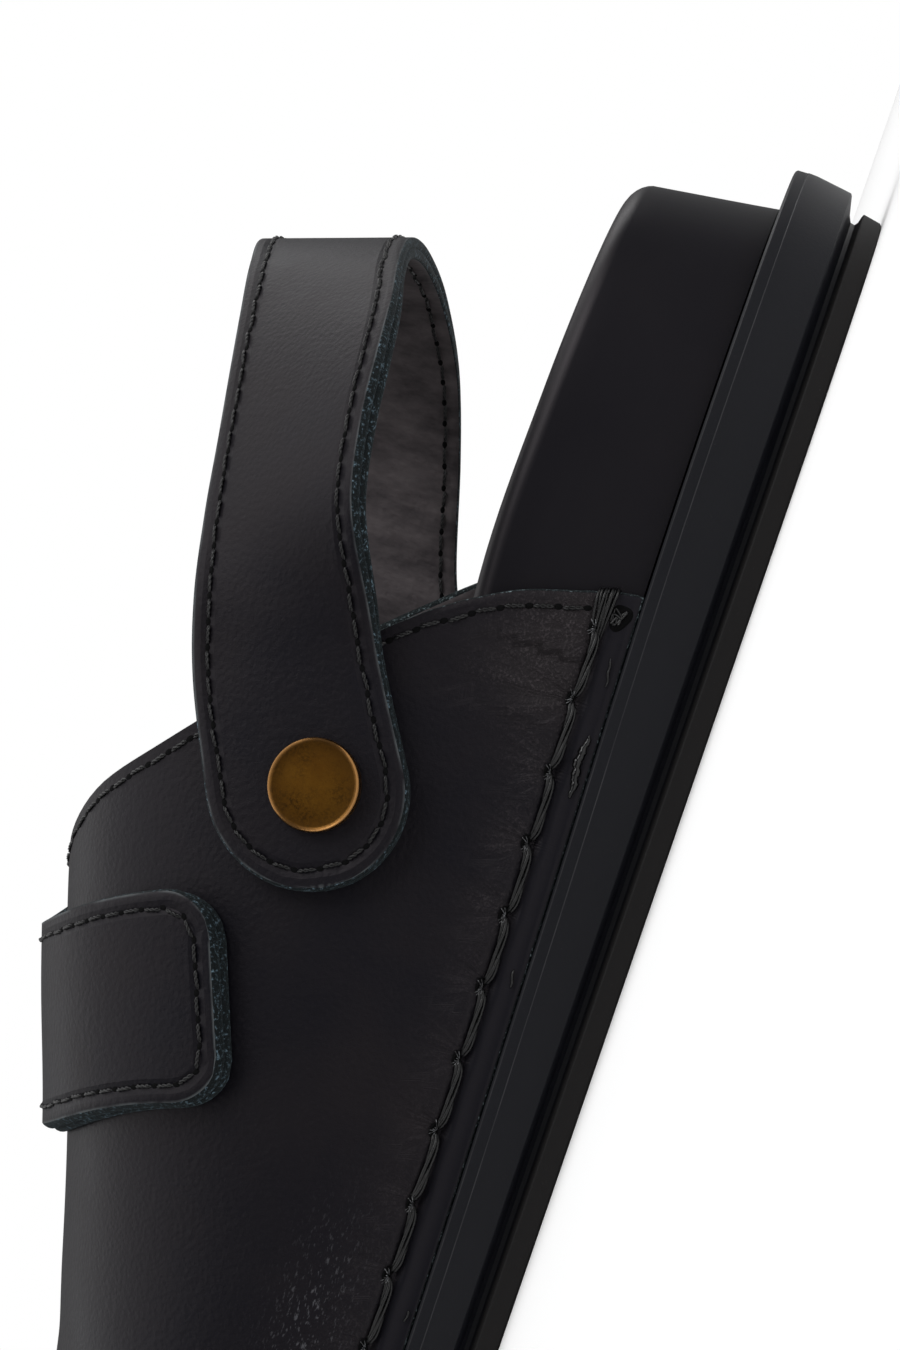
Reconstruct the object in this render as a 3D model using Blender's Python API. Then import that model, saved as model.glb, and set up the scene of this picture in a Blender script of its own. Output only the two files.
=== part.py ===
"""Left leather sandal: closed toe, sling heel strap, snaps, thick sole with a wave tread."""

import math

import bmesh
import bpy
import numpy as np
from mathutils import Matrix, Vector

for old in list(bpy.data.objects):
    bpy.data.objects.remove(old, do_unlink=True)

# Sizes are in millimetres: x from the back of the heel to the toe, y to the wearer's left, z up.
MM = 0.001
GAP = 0.3
RUNGS = 30

# Tread outline
TREAD_BACK = 3.5
TREAD_FRONT = 289.5
HEEL_MID = 0.3
TOE_MID = -4.0
OUTLINE_COLUMNS = ("x", "left", "right")
OUTLINE_ROWS = (
    (12, 23.4, -23.2),
    (32, 34.0, -34.4),
    (48, 36.8, -37.3),
    (70, 39.2, -39.3),
    (95, 43.0, -40.9),
    (120, 47.4, -42.5),
    (145, 51.2, -44.0),
    (170, 54.2, -45.2),
    (195, 55.6, -46.2),
    (218, 54.0, -46.4),
    (240, 48.8, -44.4),
    (260, 40.2, -39.4),
    (275, 29.4, -32.0),
    (284, 17.6, -23.6),
)

# Toe spring
SPRING_START = 208.0
SPRING_RISE = 9.0

# Extra fullness of the sole's wall, and set-back of the footbed, at the very back of the heel
BACK_REACH = 0.9
WALL_BACK = 2.2
FOOTBED_BACK = 4.0

# Side of the outsole, from the tread up to its ledge
LEDGE_COLUMNS = ("x", "height")
LEDGE_ROWS = ((0, 14.0), (60, 13.8), (105, 12.6), (150, 11.6), (200, 11.2), (293, 11.0))
SIDE_COLUMNS = ("from_ledge", "z", "out", "back")
SIDE_ROWS = (
    (0, 0.0, 0.0, 0),
    (0, 0.8, 0.7, 0),
    (0, 2.9, 0.9, 0),
    (0, 3.5, -0.7, 0),
    (0, 4.6, -0.8, 0),
    (0, 5.5, 1.0, 1),
    (1, -3.2, 1.9, 1),
    (1, -0.7, 1.8, 1),
    (1, 0.0, 1.2, 1),
)

# Wave tread: two families of quarter-ellipse grooves that cross at right angles
WAVE_STEP_X = 11.39
WAVE_STEP_Y = 10.25
WAVE_START_X = 22.0
WAVE_START_Y = 13.75
WAVE_SEGMENTS = 3
GROOVE_HALF_TOP = 1.2
GROOVE_HALF_FLOOR = 0.9
GROOVE_DEPTH = 2.4
GROOVE_MARGIN = 3.6
GROOVE_OVERRUN = 1.0
GROOVE_ROWS = 20

# Footbed
FOOTBED_IN = 1.0
FOOTBED_COLUMNS = ("x", "rim", "floor", "lean")
FOOTBED_ROWS = (
    (0, 34.4, 27.5, 0.6),
    (40, 35.8, 27.2, 0.6),
    (62, 36.0, 27.0, 0.6),
    (100, 31.5, 26.5, 1.2),
    (150, 24.5, 22.5, 2.4),
    (200, 20.5, 19.0, 2.8),
    (293, 19.5, 18.5, 3.2),
)
FOOT_BACK_SHARE = 0.3
WAIST_BACK_SHARE = 0.85
WAIST_LEAN_SHARE = 0.75
RIM_ROUND = 2.6
CUP_COLUMNS = ("inset", "drop")
CUP_ROWS = ((5.5, 0.12), (11.0, 0.55), (19.0, 0.9))

# Upper
LEATHER = 2.0
TOE_CLOSING = 12.0
UPPER_IN = GAP - FOOTBED_IN
UPPER_OUT = UPPER_IN + LEATHER
CREST_SHARE = 0.53
UPPER_COLUMNS = ("x", "top", "fullness")
UPPER_ROWS = (
    (40, 91.0, 3.2),
    (80, 89.2, 3.1),
    (100, 86.8, 3.0),
    (118, 83.2, 2.9),
    (140, 76.8, 2.75),
    (160, 70.0, 2.6),
    (180, 64.3, 2.5),
    (200, 59.3, 2.45),
    (220, 55.0, 2.4),
    (240, 50.3, 2.35),
    (260, 43.8, 2.3),
    (275, 35.8, 2.25),
    (284, 27.6, 2.2),
)
COLLAR_COLUMNS = ("x", "z")
COLLAR_ROWS = (
    (62.4, 18.5),
    (66.0, 30.0),
    (71.0, 38.5),
    (77.3, 46.0),
    (88.0, 57.5),
    (101.0, 69.0),
    (109.0, 75.5),
)
COLLAR_CORNER_X = 61.6
THROAT_X = 127.0
HALF_ARCH = 12
ARCH_GROUPING = 1.6
UPPER_STATIONS = 20

# Instep strap
INSTEP_THICK = 3.4
INSTEP_WIDTH = 27.0
INSTEP_LENGTH = 112.0
INSTEP_CORNER = 6.0
INSTEP_TOP_X = 150.0
INSTEP_END_X = 129.0
INSTEP_END_ANGLE = 24.0
INSTEP_END_SKEW = 2.5
INSTEP_LENGTHS = 24
INSTEP_WIDTHS = 4

# Heel strap: the edges of its inner face, from the outer snap round the heel to the inner snap
STRAP_THICK = 3.2
STRAP_LAY = 0.45
STRAP_COLUMNS = ("low_x", "low_y", "low_z", "top_x", "top_y", "top_z")
STRAP_ROWS = (
    (93.0, 40.0, 35.8, 105.0, 36.0, 58.8),
    (80.8, 40.0, 43.4, 91.0, 36.0, 66.0),
    (72.6, 41.5, 47.2, 81.0, 36.0, 69.6),
    (61.8, 43.0, 52.0, 71.0, 32.0, 71.8),
    (51.8, 39.5, 54.5, 61.0, 27.0, 74.0),
    (43.8, 34.0, 56.0, 52.0, 20.5, 76.6),
    (36.8, 25.0, 58.0, 44.5, 12.5, 79.4),
    (31.5, 12.0, 61.0, 38.5, 3.0, 82.4),
    (28.5, -4.0, 63.0, 35.5, -8.5, 84.8),
    (29.0, -19.0, 62.5, 35.8, -21.5, 84.4),
    (34.0, -31.0, 59.5, 40.0, -31.0, 81.2),
    (43.5, -39.0, 55.0, 49.0, -36.0, 77.0),
    (56.0, -43.0, 51.0, 62.0, -39.5, 73.0),
    (72.8, -42.0, 46.0, 79.0, -39.0, 69.0),
    (80.8, -40.0, 42.2, 90.8, -37.0, 64.8),
    (93.0, -40.0, 35.8, 105.0, -36.0, 58.8),
)
STRAP_STEPS = 2
STRAP_END_STEPS = 4
STRAP_WIDTHS = 4
STRAP_END_START = 0.35
STRAP_SIDE_LIMIT = 0.98
STRAP_OVER_COLLAR = 7.0

# Snap caps
CAP_RADIUS = 6.25
CAP_RIM = 0.7
CAP_THICK = 1.7
CAP_SEAT = 0.35
CAP_RIM_WIDTH = 1.1
CAP_DISH = 0.2
CAP_LOWER = 1.6
CAP_SIDES = 24

# Edges sharper than this stay crisp
CREASE = 40.0
TREAD_CREASE = 28.0
UPPER_CREASE = 50.0

# Base colour, roughness, metallic
COLORS = {
    "outsole": ((0.016, 0.015, 0.015, 1), 0.62, 0.0),
    "footbed": ((0.013, 0.013, 0.015, 1), 0.42, 0.0),
    "upper": ((0.013, 0.011, 0.012, 1), 0.5, 0.0),
    "instep_strap": ((0.014, 0.012, 0.012, 1), 0.5, 0.0),
    "heel_strap": ((0.014, 0.012, 0.012, 1), 0.5, 0.0),
    "snap_outer": ((0.16, 0.075, 0.012, 1), 0.38, 1.0),
    "snap_inner": ((0.16, 0.075, 0.012, 1), 0.38, 1.0),
}


# Curves through short tables

def column(columns, rows, name):
    return np.array([row[columns.index(name)] for row in rows], float)


def smooth(knots, values, at):
    """Cubic through the knots, with slopes from the neighbouring knots."""
    at = np.clip(np.asarray(at, float), knots[0], knots[-1])
    steps = np.diff(knots)
    chords = np.diff(values) / steps
    slopes = np.empty(len(knots))
    slopes[0] = chords[0]
    slopes[-1] = chords[-1]
    slopes[1:-1] = (chords[:-1] * steps[1:] + chords[1:] * steps[:-1]) / (steps[:-1] + steps[1:])
    i = np.clip(np.searchsorted(knots, at, side="right") - 1, 0, len(steps) - 1)
    s = (at - knots[i]) / steps[i]
    rise = values[i + 1] - values[i]
    start = slopes[i] * steps[i]
    end = slopes[i + 1] * steps[i]
    return values[i] + s * (start + s * (3 * rise - 2 * start - end + s * (start + end - 2 * rise)))


def table(columns, rows, name, x):
    return smooth(column(columns, rows, "x"), column(columns, rows, name), x)


def lift(x):
    share = np.clip((np.asarray(x, float) - SPRING_START) / (TREAD_FRONT - SPRING_START), 0, None)
    return SPRING_RISE * share**2


def ledge(x):
    return table(LEDGE_COLUMNS, LEDGE_ROWS, "height", x)


# Outline: t runs from 0 at the back of the heel to pi at the tip of the toe

def x_at(t):
    return TREAD_BACK + (TREAD_FRONT - TREAD_BACK) * (1 - np.cos(t)) / 2


def t_at(x):
    share = (np.asarray(x, float) - TREAD_BACK) / (TREAD_FRONT - TREAD_BACK)
    return np.arccos(1 - 2 * np.clip(share, 0, 1))


OUTLINE_KNOTS = np.concatenate(([0], t_at(column(OUTLINE_COLUMNS, OUTLINE_ROWS, "x")), [math.pi]))
OUTLINE_Y = {
    side: np.concatenate(([HEEL_MID], column(OUTLINE_COLUMNS, OUTLINE_ROWS, side), [TOE_MID]))
    for side in ("left", "right")
}


def edge(side, t, out):
    """A point of the outline, moved outwards along its normal."""
    t = np.asarray(t, float)
    nudge = 1e-3
    before = np.clip(t - nudge, 0, math.pi)
    after = np.clip(t + nudge, 0, math.pi)
    run = x_at(after) - x_at(before)
    rise = smooth(OUTLINE_KNOTS, OUTLINE_Y[side], after) - smooth(OUTLINE_KNOTS, OUTLINE_Y[side], before)
    run = np.where((t <= 0) | (t >= math.pi), 0, run)
    length = np.hypot(run, rise)
    turn = 1 if side == "left" else -1
    x = x_at(t) - turn * out * rise / length
    y = smooth(OUTLINE_KNOTS, OUTLINE_Y[side], t) + turn * out * run / length
    return x, y


def back(t):
    """1 at the back of the heel, fading out along its sides."""
    return np.clip(1 - np.asarray(t, float) / BACK_REACH, 0, 1) ** 2


def ring(out, height):
    """A closed loop round the sole: heel tip, left side, toe tip, then the right side back.

    out gives the outward move for each t, and height the z for each x, before the toe spring.
    """
    t = np.linspace(0, math.pi, RUNGS + 1)
    left = np.stack(edge("left", t, out(t)), 1)
    right = np.stack(edge("right", t[1:-1], out(t[1:-1])), 1)
    loop = np.concatenate((left, right[::-1]))
    return np.column_stack((loop, height(loop[:, 0]) + lift(loop[:, 0])))


# Meshes

def add_object(name, points, faces):
    mesh = bpy.data.meshes.new(name)
    mesh.from_pydata([tuple(p) for p in np.asarray(points) * MM], [], faces)
    body = bmesh.new()
    body.from_mesh(mesh)
    bmesh.ops.recalc_face_normals(body, faces=body.faces)
    body.to_mesh(mesh)
    body.free()
    item = bpy.data.objects.new(name, mesh)
    bpy.context.scene.collection.objects.link(item)
    return item


def finish(item, angle=CREASE):
    color, roughness, metallic = COLORS[item.name]
    material = bpy.data.materials.new(item.name)
    material.use_nodes = True
    shader = material.node_tree.nodes["Principled BSDF"]
    shader.inputs["Base Color"].default_value = color
    shader.inputs["Roughness"].default_value = roughness
    shader.inputs["Metallic"].default_value = metallic
    item.data.materials.clear()
    item.data.materials.append(material)
    item.data.shade_smooth()
    item.data.set_sharp_from_angle(angle=math.radians(angle))


def stack(rings):
    """A closed solid from loops of the same count, with a ladder of faces across each end."""
    count = len(rings[0])
    half = count // 2
    faces = []
    for level in range(len(rings) - 1):
        for i in range(count):
            j = (i + 1) % count
            a, b = level * count, (level + 1) * count
            faces.append((a + i, a + j, b + j, b + i))
    for base, order in ((0, 1), ((len(rings) - 1) * count, -1)):
        for i in range(half):
            loop = [base + i, base + i + 1, base + (count - i - 1) % count, base + (count - i) % count]
            loop = list(dict.fromkeys(loop))
            faces.append(tuple(loop[::-order]))
    return np.concatenate(rings), faces


def wall(outer, inner, closed_end=False):
    """A solid between two grids of points; with closed_end each grid's last row is one point."""
    rows, cols = outer.shape[:2]
    points = []
    index = np.empty((2, rows, cols), int)
    for side, grid in enumerate((outer, inner)):
        for r in range(rows):
            for c in range(cols):
                if closed_end and r == rows - 1 and c > 0:
                    index[side, r, c] = index[side, r, 0]
                    continue
                index[side, r, c] = len(points)
                points.append(grid[r, c])
    faces = []

    def face(*corners):
        kept = tuple(dict.fromkeys(int(k) for k in corners))
        if len(kept) > 2:
            faces.append(kept)

    for r in range(rows - 1):
        for c in range(cols - 1):
            for side in (0, 1):
                i = index[side]
                face(i[r, c], i[r, c + 1], i[r + 1, c + 1], i[r + 1, c])
        for c in (0, cols - 1):
            face(index[0, r, c], index[0, r + 1, c], index[1, r + 1, c], index[1, r, c])
    for r in (0,) if closed_end else (0, rows - 1):
        for c in range(cols - 1):
            face(index[0, r, c], index[0, r, c + 1], index[1, r, c + 1], index[1, r, c])
    return np.array(points), faces


def cut(item, cutter, operation):
    modifier = item.modifiers.new(operation.lower(), "BOOLEAN")
    modifier.operation = operation
    modifier.solver = "EXACT"
    modifier.object = cutter
    depsgraph = bpy.context.evaluated_depsgraph_get()
    result = bpy.data.meshes.new_from_object(item.evaluated_get(depsgraph))
    item.modifiers.clear()
    item.data = result
    bpy.data.objects.remove(cutter, do_unlink=True)


# Outsole

def side_rings():
    rings = []
    for values in SIDE_ROWS:
        row = dict(zip(SIDE_COLUMNS, values))
        rings.append(
            ring(
                lambda t: row["out"] + row["back"] * WALL_BACK * back(t),
                lambda x: row["z"] + row["from_ledge"] * ledge(x),
            )
        )
    return rings


def wave_line(family, row):
    """One stair of quarter ellipses across the sole; family 1 climbs to the left, -1 to the right."""
    points = []
    turn = np.linspace(0, math.pi / 2, WAVE_SEGMENTS + 1)[:-1]
    for i in range(-1, int(TREAD_FRONT / WAVE_STEP_X / 2) + 1):
        x = WAVE_START_X + 2 * i * WAVE_STEP_X
        y = WAVE_START_Y + 2 * (row + family * i) * WAVE_STEP_Y
        round_x, flat_x = (1 - np.cos(turn)), np.sin(turn)
        first, second = ((round_x, flat_x), (flat_x, round_x))
        if family < 0:
            first, second = second, first
        points += [(x + WAVE_STEP_X * a, y + family * WAVE_STEP_Y * b) for a, b in zip(*first)]
        x += WAVE_STEP_X
        y += family * WAVE_STEP_Y
        points += [(x + WAVE_STEP_X * a, y + family * WAVE_STEP_Y * b) for a, b in zip(*second)]
    return np.array(points)


def groove_band(line):
    """Tapered bar along one line, sunk into the tread from below."""
    ahead = np.gradient(line, axis=0)
    ahead /= np.linalg.norm(ahead, axis=1)[:, None]
    across = np.column_stack((-ahead[:, 1], ahead[:, 0]))
    taper = (GROOVE_HALF_TOP - GROOVE_HALF_FLOOR) / GROOVE_DEPTH
    corners = (
        (1, GROOVE_HALF_TOP + taper * GROOVE_OVERRUN, -GROOVE_OVERRUN),
        (1, GROOVE_HALF_FLOOR, GROOVE_DEPTH),
        (-1, GROOVE_HALF_FLOOR, GROOVE_DEPTH),
        (-1, GROOVE_HALF_TOP + taper * GROOVE_OVERRUN, -GROOVE_OVERRUN),
    )
    loops = []
    for sign, half, z in corners:
        spot = line + sign * half * across
        loops.append(np.column_stack((spot, z + lift(spot[:, 0]))))
    sections = np.stack(loops, 1)
    count = len(line)
    faces = []
    for i in range(count - 1):
        for k in range(4):
            m = (k + 1) % 4
            faces.append((4 * i + k, 4 * i + m, 4 * i + 4 + m, 4 * i + 4 + k))
    faces.append((0, 1, 2, 3))
    faces.append(tuple(4 * (count - 1) + k for k in (3, 2, 1, 0)))
    return sections.reshape(-1, 3), faces


def wave_cutter(family):
    points = []
    faces = []
    width = column(OUTLINE_COLUMNS, OUTLINE_ROWS, "left").max() + 2 * WAVE_STEP_Y
    for row in range(-GROOVE_ROWS, GROOVE_ROWS + 1):
        line = wave_line(family, row)
        line = line[np.abs(line[:, 1]) < width]
        if len(line) < 2 * WAVE_SEGMENTS:
            continue
        band, sides = groove_band(line)
        faces += [tuple(k + len(points) for k in side) for side in sides]
        points += list(band)
    cutter = add_object("wave", points, faces)
    inside = ring(lambda t: 0 * t - GROOVE_MARGIN, lambda x: 0 * x)
    rings = []
    for z in (-2 * GROOVE_OVERRUN, GROOVE_DEPTH + SPRING_RISE + GROOVE_OVERRUN):
        inside[:, 2] = z
        rings.append(inside.copy())
    cut(cutter, add_object("inside", *stack(rings)), "INTERSECT")
    return cutter


def make_outsole():
    item = add_object("outsole", *stack(side_rings()))
    for family in (1, -1):
        cut(item, wave_cutter(family), "DIFFERENCE")
    finish(item, TREAD_CREASE)
    return item


# Footbed

def footbed_level(name, x):
    return table(FOOTBED_COLUMNS, FOOTBED_ROWS, name, x)


def make_footbed():
    rings = []

    def add_ring(inset, height, set_back=1.0):
        rings.append(
            ring(
                lambda t: -FOOTBED_IN - inset(x_at(t)) - set_back * FOOTBED_BACK * back(t),
                height,
            )
        )

    def lean(x):
        return footbed_level("lean", x)

    def rim(x):
        return footbed_level("rim", x)

    add_ring(lambda x: 0 * x, lambda x: ledge(x) + GAP, FOOT_BACK_SHARE)
    add_ring(lambda x: WAIST_LEAN_SHARE * lean(x), lambda x: rim(x) - RIM_ROUND, WAIST_BACK_SHARE)
    for angle in (30, 60, 90):
        turn = math.radians(angle)
        add_ring(
            lambda x: lean(x) + RIM_ROUND * (1 - math.cos(turn)),
            lambda x: rim(x) - RIM_ROUND * (1 - math.sin(turn)),
        )
    for values in CUP_ROWS:
        cup = dict(zip(CUP_COLUMNS, values))
        add_ring(
            lambda x: lean(x) + cup["inset"],
            lambda x: rim(x) - cup["drop"] * (rim(x) - footbed_level("floor", x)),
        )
    item = add_object("footbed", *stack(rings))
    finish(item)
    return item


# Upper: sections at each t are arches from the left edge over the crest to the right edge

CREST_KNOTS = np.append(t_at(column(UPPER_COLUMNS, UPPER_ROWS, "x")), math.pi)


def crest_height(t):
    """Height of the arch above the ledge, falling to nothing at the tip of the toe."""
    rows_x = column(UPPER_COLUMNS, UPPER_ROWS, "x")
    rise = column(UPPER_COLUMNS, UPPER_ROWS, "top") - ledge(rows_x) - GAP
    return smooth(CREST_KNOTS, np.append(rise, 0), t)


def fullness(t):
    rows = column(UPPER_COLUMNS, UPPER_ROWS, "fullness")
    return smooth(CREST_KNOTS, np.append(rows, rows[-1]), t)


def arch(angle, t, out):
    """Point of the upper: angle 0 at the left edge, 90 at the crest, 180 at the right edge."""
    side = "left" if angle <= 90 else "right"
    turn = math.radians(angle if angle <= 90 else 180 - angle)
    left = np.array(edge("left", t, out))
    right = np.array(edge("right", t, out))
    crest = left + (right - left) * CREST_SHARE
    power = 2 / float(fullness(t))
    wide = max(math.cos(turn), 0) ** power
    high = math.sin(turn) ** power
    foot = left if side == "left" else right
    spot = crest + (foot - crest) * wide
    base = float(ledge(spot[0])) + GAP
    tall = float(crest_height(t))
    tall = max(tall + (out - UPPER_OUT) * min(1, tall / TOE_CLOSING), 0)
    return np.array((spot[0], spot[1], base + tall * high + float(lift(spot[0]))))


def collar_x(angle):
    """Where the collar line crosses the arch at this angle."""
    rows_x = column(COLLAR_COLUMNS, COLLAR_ROWS, "x")
    rows_z = column(COLLAR_COLUMNS, COLLAR_ROWS, "z")
    t = t_at(rows_x)
    share = (rows_z - ledge(rows_x) - GAP) / crest_height(t)
    knots = np.degrees(np.arcsin(np.clip(share, 0, 1) ** (fullness(t) / 2)))
    knots = np.concatenate(([0], knots, [90], 180 - knots[::-1], [180]))
    values = np.concatenate(([COLLAR_CORNER_X], rows_x, [THROAT_X], rows_x[::-1], [COLLAR_CORNER_X]))
    return float(smooth(knots, values, angle))


def arch_angles():
    quarter = 90 * (np.arange(HALF_ARCH + 1) / HALF_ARCH) ** ARCH_GROUPING
    return np.concatenate((quarter, 180 - quarter[-2::-1]))


def make_upper():
    shares = np.linspace(0, 1, UPPER_STATIONS + 1)
    grids = []
    for out in (UPPER_OUT, UPPER_IN):
        grid = []
        for share in shares:
            row = []
            for angle in arch_angles():
                start = float(t_at(collar_x(angle)))
                row.append(arch(angle, start + (math.pi - start) * share, out))
            grid.append(row)
        grids.append(np.array(grid))
    item = add_object("upper", *wall(grids[0], grids[1], closed_end=True))
    finish(item, UPPER_CREASE)
    return item


# Instep strap, laid over the upper's own arches

def make_instep_strap():
    half = INSTEP_WIDTH / 2
    shares = (1 - np.cos(np.linspace(0, math.pi, INSTEP_LENGTHS + 1))) / 2
    shares = 0.5 * shares + 0.5 * np.linspace(0, 1, INSTEP_LENGTHS + 1)
    sweep = 180 - 2 * INSTEP_END_ANGLE
    grids = []
    for out in (UPPER_OUT + GAP + INSTEP_THICK, UPPER_OUT + GAP):
        grid = []
        for share in shares:
            side = 1 - 2 * share
            from_end = min(share, 1 - share) * INSTEP_LENGTH
            short = max(INSTEP_CORNER - from_end, 0)
            inset = INSTEP_CORNER - math.sqrt(INSTEP_CORNER**2 - short**2)
            row = []
            for across in np.linspace(-1, 1, INSTEP_WIDTHS + 1):
                angle = INSTEP_END_ANGLE + sweep * share - INSTEP_END_SKEW * across * side
                over = math.sin(math.radians(angle)) ** 2
                under = math.sin(math.radians(INSTEP_END_ANGLE)) ** 2
                middle = INSTEP_END_X + (INSTEP_TOP_X - INSTEP_END_X) * (over - under) / (1 - under)
                row.append(arch(angle, float(t_at(middle + across * (half - inset))), out))
            grid.append(row)
        grids.append(np.array(grid))
    item = add_object("instep_strap", *wall(grids[0], grids[1]))
    finish(item)
    return item


# Heel strap, laid on the sides of the upper and free round the heel

def side_of_upper(side, x, z):
    """Reach of the upper's outer face at this length and height."""
    t = t_at(x)
    left = np.array(edge("left", t, UPPER_OUT))
    right = np.array(edge("right", t, UPPER_OUT))
    crest = left[1] + (right[1] - left[1]) * CREST_SHARE
    foot = left[1] if side > 0 else right[1]
    share = np.clip((z - ledge(x) - GAP) / crest_height(t), 0, STRAP_SIDE_LIMIT)
    power = fullness(t)
    return crest + (foot - crest) * (1 - share**power) ** (1 / power)


def backed(x, z):
    """1 where the upper lies behind this spot, fading to 0 past its collar."""
    rows_x = column(COLLAR_COLUMNS, COLLAR_ROWS, "x")
    beyond = z - smooth(rows_x, column(COLLAR_COLUMNS, COLLAR_ROWS, "z"), x)
    share = np.clip(2 - beyond / STRAP_OVER_COLLAR, 0, 1)
    return share * share * (3 - 2 * share)


def strap_sections():
    """Low and top points of the inner face, with a round end beyond each snap."""
    knots = np.arange(len(STRAP_ROWS), dtype=float)
    at = np.linspace(0, knots[-1], STRAP_STEPS * (len(knots) - 1) + 1)
    low, top = (
        np.stack([smooth(knots, column(STRAP_COLUMNS, STRAP_ROWS, f"{end}_{axis}"), at) for axis in "xyz"], 1)
        for end in ("low", "top")
    )
    ends = []
    for first, inward in ((0, STRAP_STEPS), (-1, -1 - STRAP_STEPS)):
        snap = (low[first] + top[first]) / 2
        along = snap - (low[inward] + top[inward]) / 2
        along /= np.linalg.norm(along)
        half = (top[first] - low[first]) / 2
        turn = math.pi / 2 * (np.arange(STRAP_END_STEPS) + STRAP_END_START) / STRAP_END_STEPS
        tip = snap + np.linalg.norm(half) * np.outer(np.cos(turn), along)
        ends.append((tip - np.outer(np.sin(turn), half), tip + np.outer(np.sin(turn), half)))
    low = np.concatenate((ends[0][0], low, ends[1][0][::-1]))
    top = np.concatenate((ends[0][1], top, ends[1][1][::-1]))
    return low, top


def strap_grids():
    low, top = strap_sections()
    inner = np.empty((len(low), STRAP_WIDTHS + 1, 3))
    for r in range(len(low)):
        for c, across in enumerate(np.linspace(0, 1, STRAP_WIDTHS + 1)):
            spot = low[r] + (top[r] - low[r]) * across
            side = 1 if spot[1] > 0 else -1
            if spot[0] > COLLAR_CORNER_X:
                reach = side * float(side_of_upper(side, spot[0], spot[2])) + STRAP_LAY
                push = max(reach - side * spot[1], 0) * backed(spot[0], spot[2])
                spot[1] += side * push
            inner[r, c] = spot
    along = np.gradient(inner, axis=0)
    across = np.gradient(inner, axis=1)
    out = np.cross(along, across)
    out /= np.linalg.norm(out, axis=2)[:, :, None]
    return inner + STRAP_THICK * out, inner, out


def make_heel_strap():
    outer, inner, _ = strap_grids()
    item = add_object("heel_strap", *wall(outer, inner))
    finish(item)
    return item


# Snap caps

def make_snap(name, row):
    outer, _, normals = strap_grids()
    middle = STRAP_WIDTHS // 2
    down = outer[row, middle - 1] - outer[row, middle]
    face = outer[row, middle] + CAP_LOWER * down / np.linalg.norm(down)
    axis = Vector(normals[row, middle])
    profile = [(0.0, 0.0), (CAP_RADIUS, 0.0), (CAP_RADIUS, CAP_THICK - CAP_RIM)]
    for angle in (45, 90):
        turn = math.radians(angle)
        out = CAP_RADIUS - CAP_RIM * (1 - math.cos(turn))
        profile.append((out, CAP_THICK - CAP_RIM * (1 - math.sin(turn))))
    profile += [(CAP_RADIUS - CAP_RIM_WIDTH, CAP_THICK - CAP_DISH), (0.0, CAP_THICK - CAP_DISH)]
    points = [(0, 0, profile[0][1]), (0, 0, profile[-1][1])]
    rims = profile[1:-1]
    for k in range(CAP_SIDES):
        spin = 2 * math.pi * k / CAP_SIDES
        points += [(r * math.cos(spin), r * math.sin(spin), z) for r, z in rims]
    faces = []
    for k in range(CAP_SIDES):
        a = 2 + k * len(rims)
        b = 2 + (k + 1) % CAP_SIDES * len(rims)
        faces.append((0, b, a))
        faces.append((1, a + len(rims) - 1, b + len(rims) - 1))
        faces += [(a + i, b + i, b + i + 1, a + i + 1) for i in range(len(rims) - 1)]
    turn = axis.to_track_quat("Z", "Y").to_matrix()
    seat = Vector(face) + axis * CAP_SEAT
    item = add_object(name, [turn @ Vector(p) + seat for p in points], faces)
    finish(item)
    return item


pieces = [make_outsole(), make_footbed(), make_upper(), make_instep_strap(), make_heel_strap()]
pieces.append(make_snap("snap_outer", STRAP_END_STEPS))
pieces.append(make_snap("snap_inner", -STRAP_END_STEPS - 1))

# The middle of the whole, on the floor, is the origin
corners = np.array([v.co for item in pieces for v in item.data.vertices])
middle = (corners.min(axis=0) + corners.max(axis=0)) / 2
for item in pieces:
    item.data.transform(Matrix.Translation((-middle[0], -middle[1], 0)))
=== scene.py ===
import math

import bmesh
import bpy
import numpy as np
from mathutils import Matrix, Vector
from mathutils.bvhtree import BVHTree


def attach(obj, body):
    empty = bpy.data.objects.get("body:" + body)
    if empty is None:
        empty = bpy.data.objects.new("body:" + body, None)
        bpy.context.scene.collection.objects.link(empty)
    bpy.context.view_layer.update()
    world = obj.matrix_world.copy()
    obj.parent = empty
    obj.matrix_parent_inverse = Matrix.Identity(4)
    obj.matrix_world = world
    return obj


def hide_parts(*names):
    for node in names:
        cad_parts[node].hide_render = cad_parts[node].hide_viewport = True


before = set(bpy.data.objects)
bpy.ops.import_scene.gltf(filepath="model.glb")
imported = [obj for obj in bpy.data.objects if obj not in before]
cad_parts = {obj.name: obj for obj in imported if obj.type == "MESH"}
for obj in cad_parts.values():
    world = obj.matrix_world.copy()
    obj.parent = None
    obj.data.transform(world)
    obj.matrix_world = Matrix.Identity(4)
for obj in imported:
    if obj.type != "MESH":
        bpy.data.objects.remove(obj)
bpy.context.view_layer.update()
print("frame loaded:", ", ".join(sorted(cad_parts)))

mm = 0.001

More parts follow.
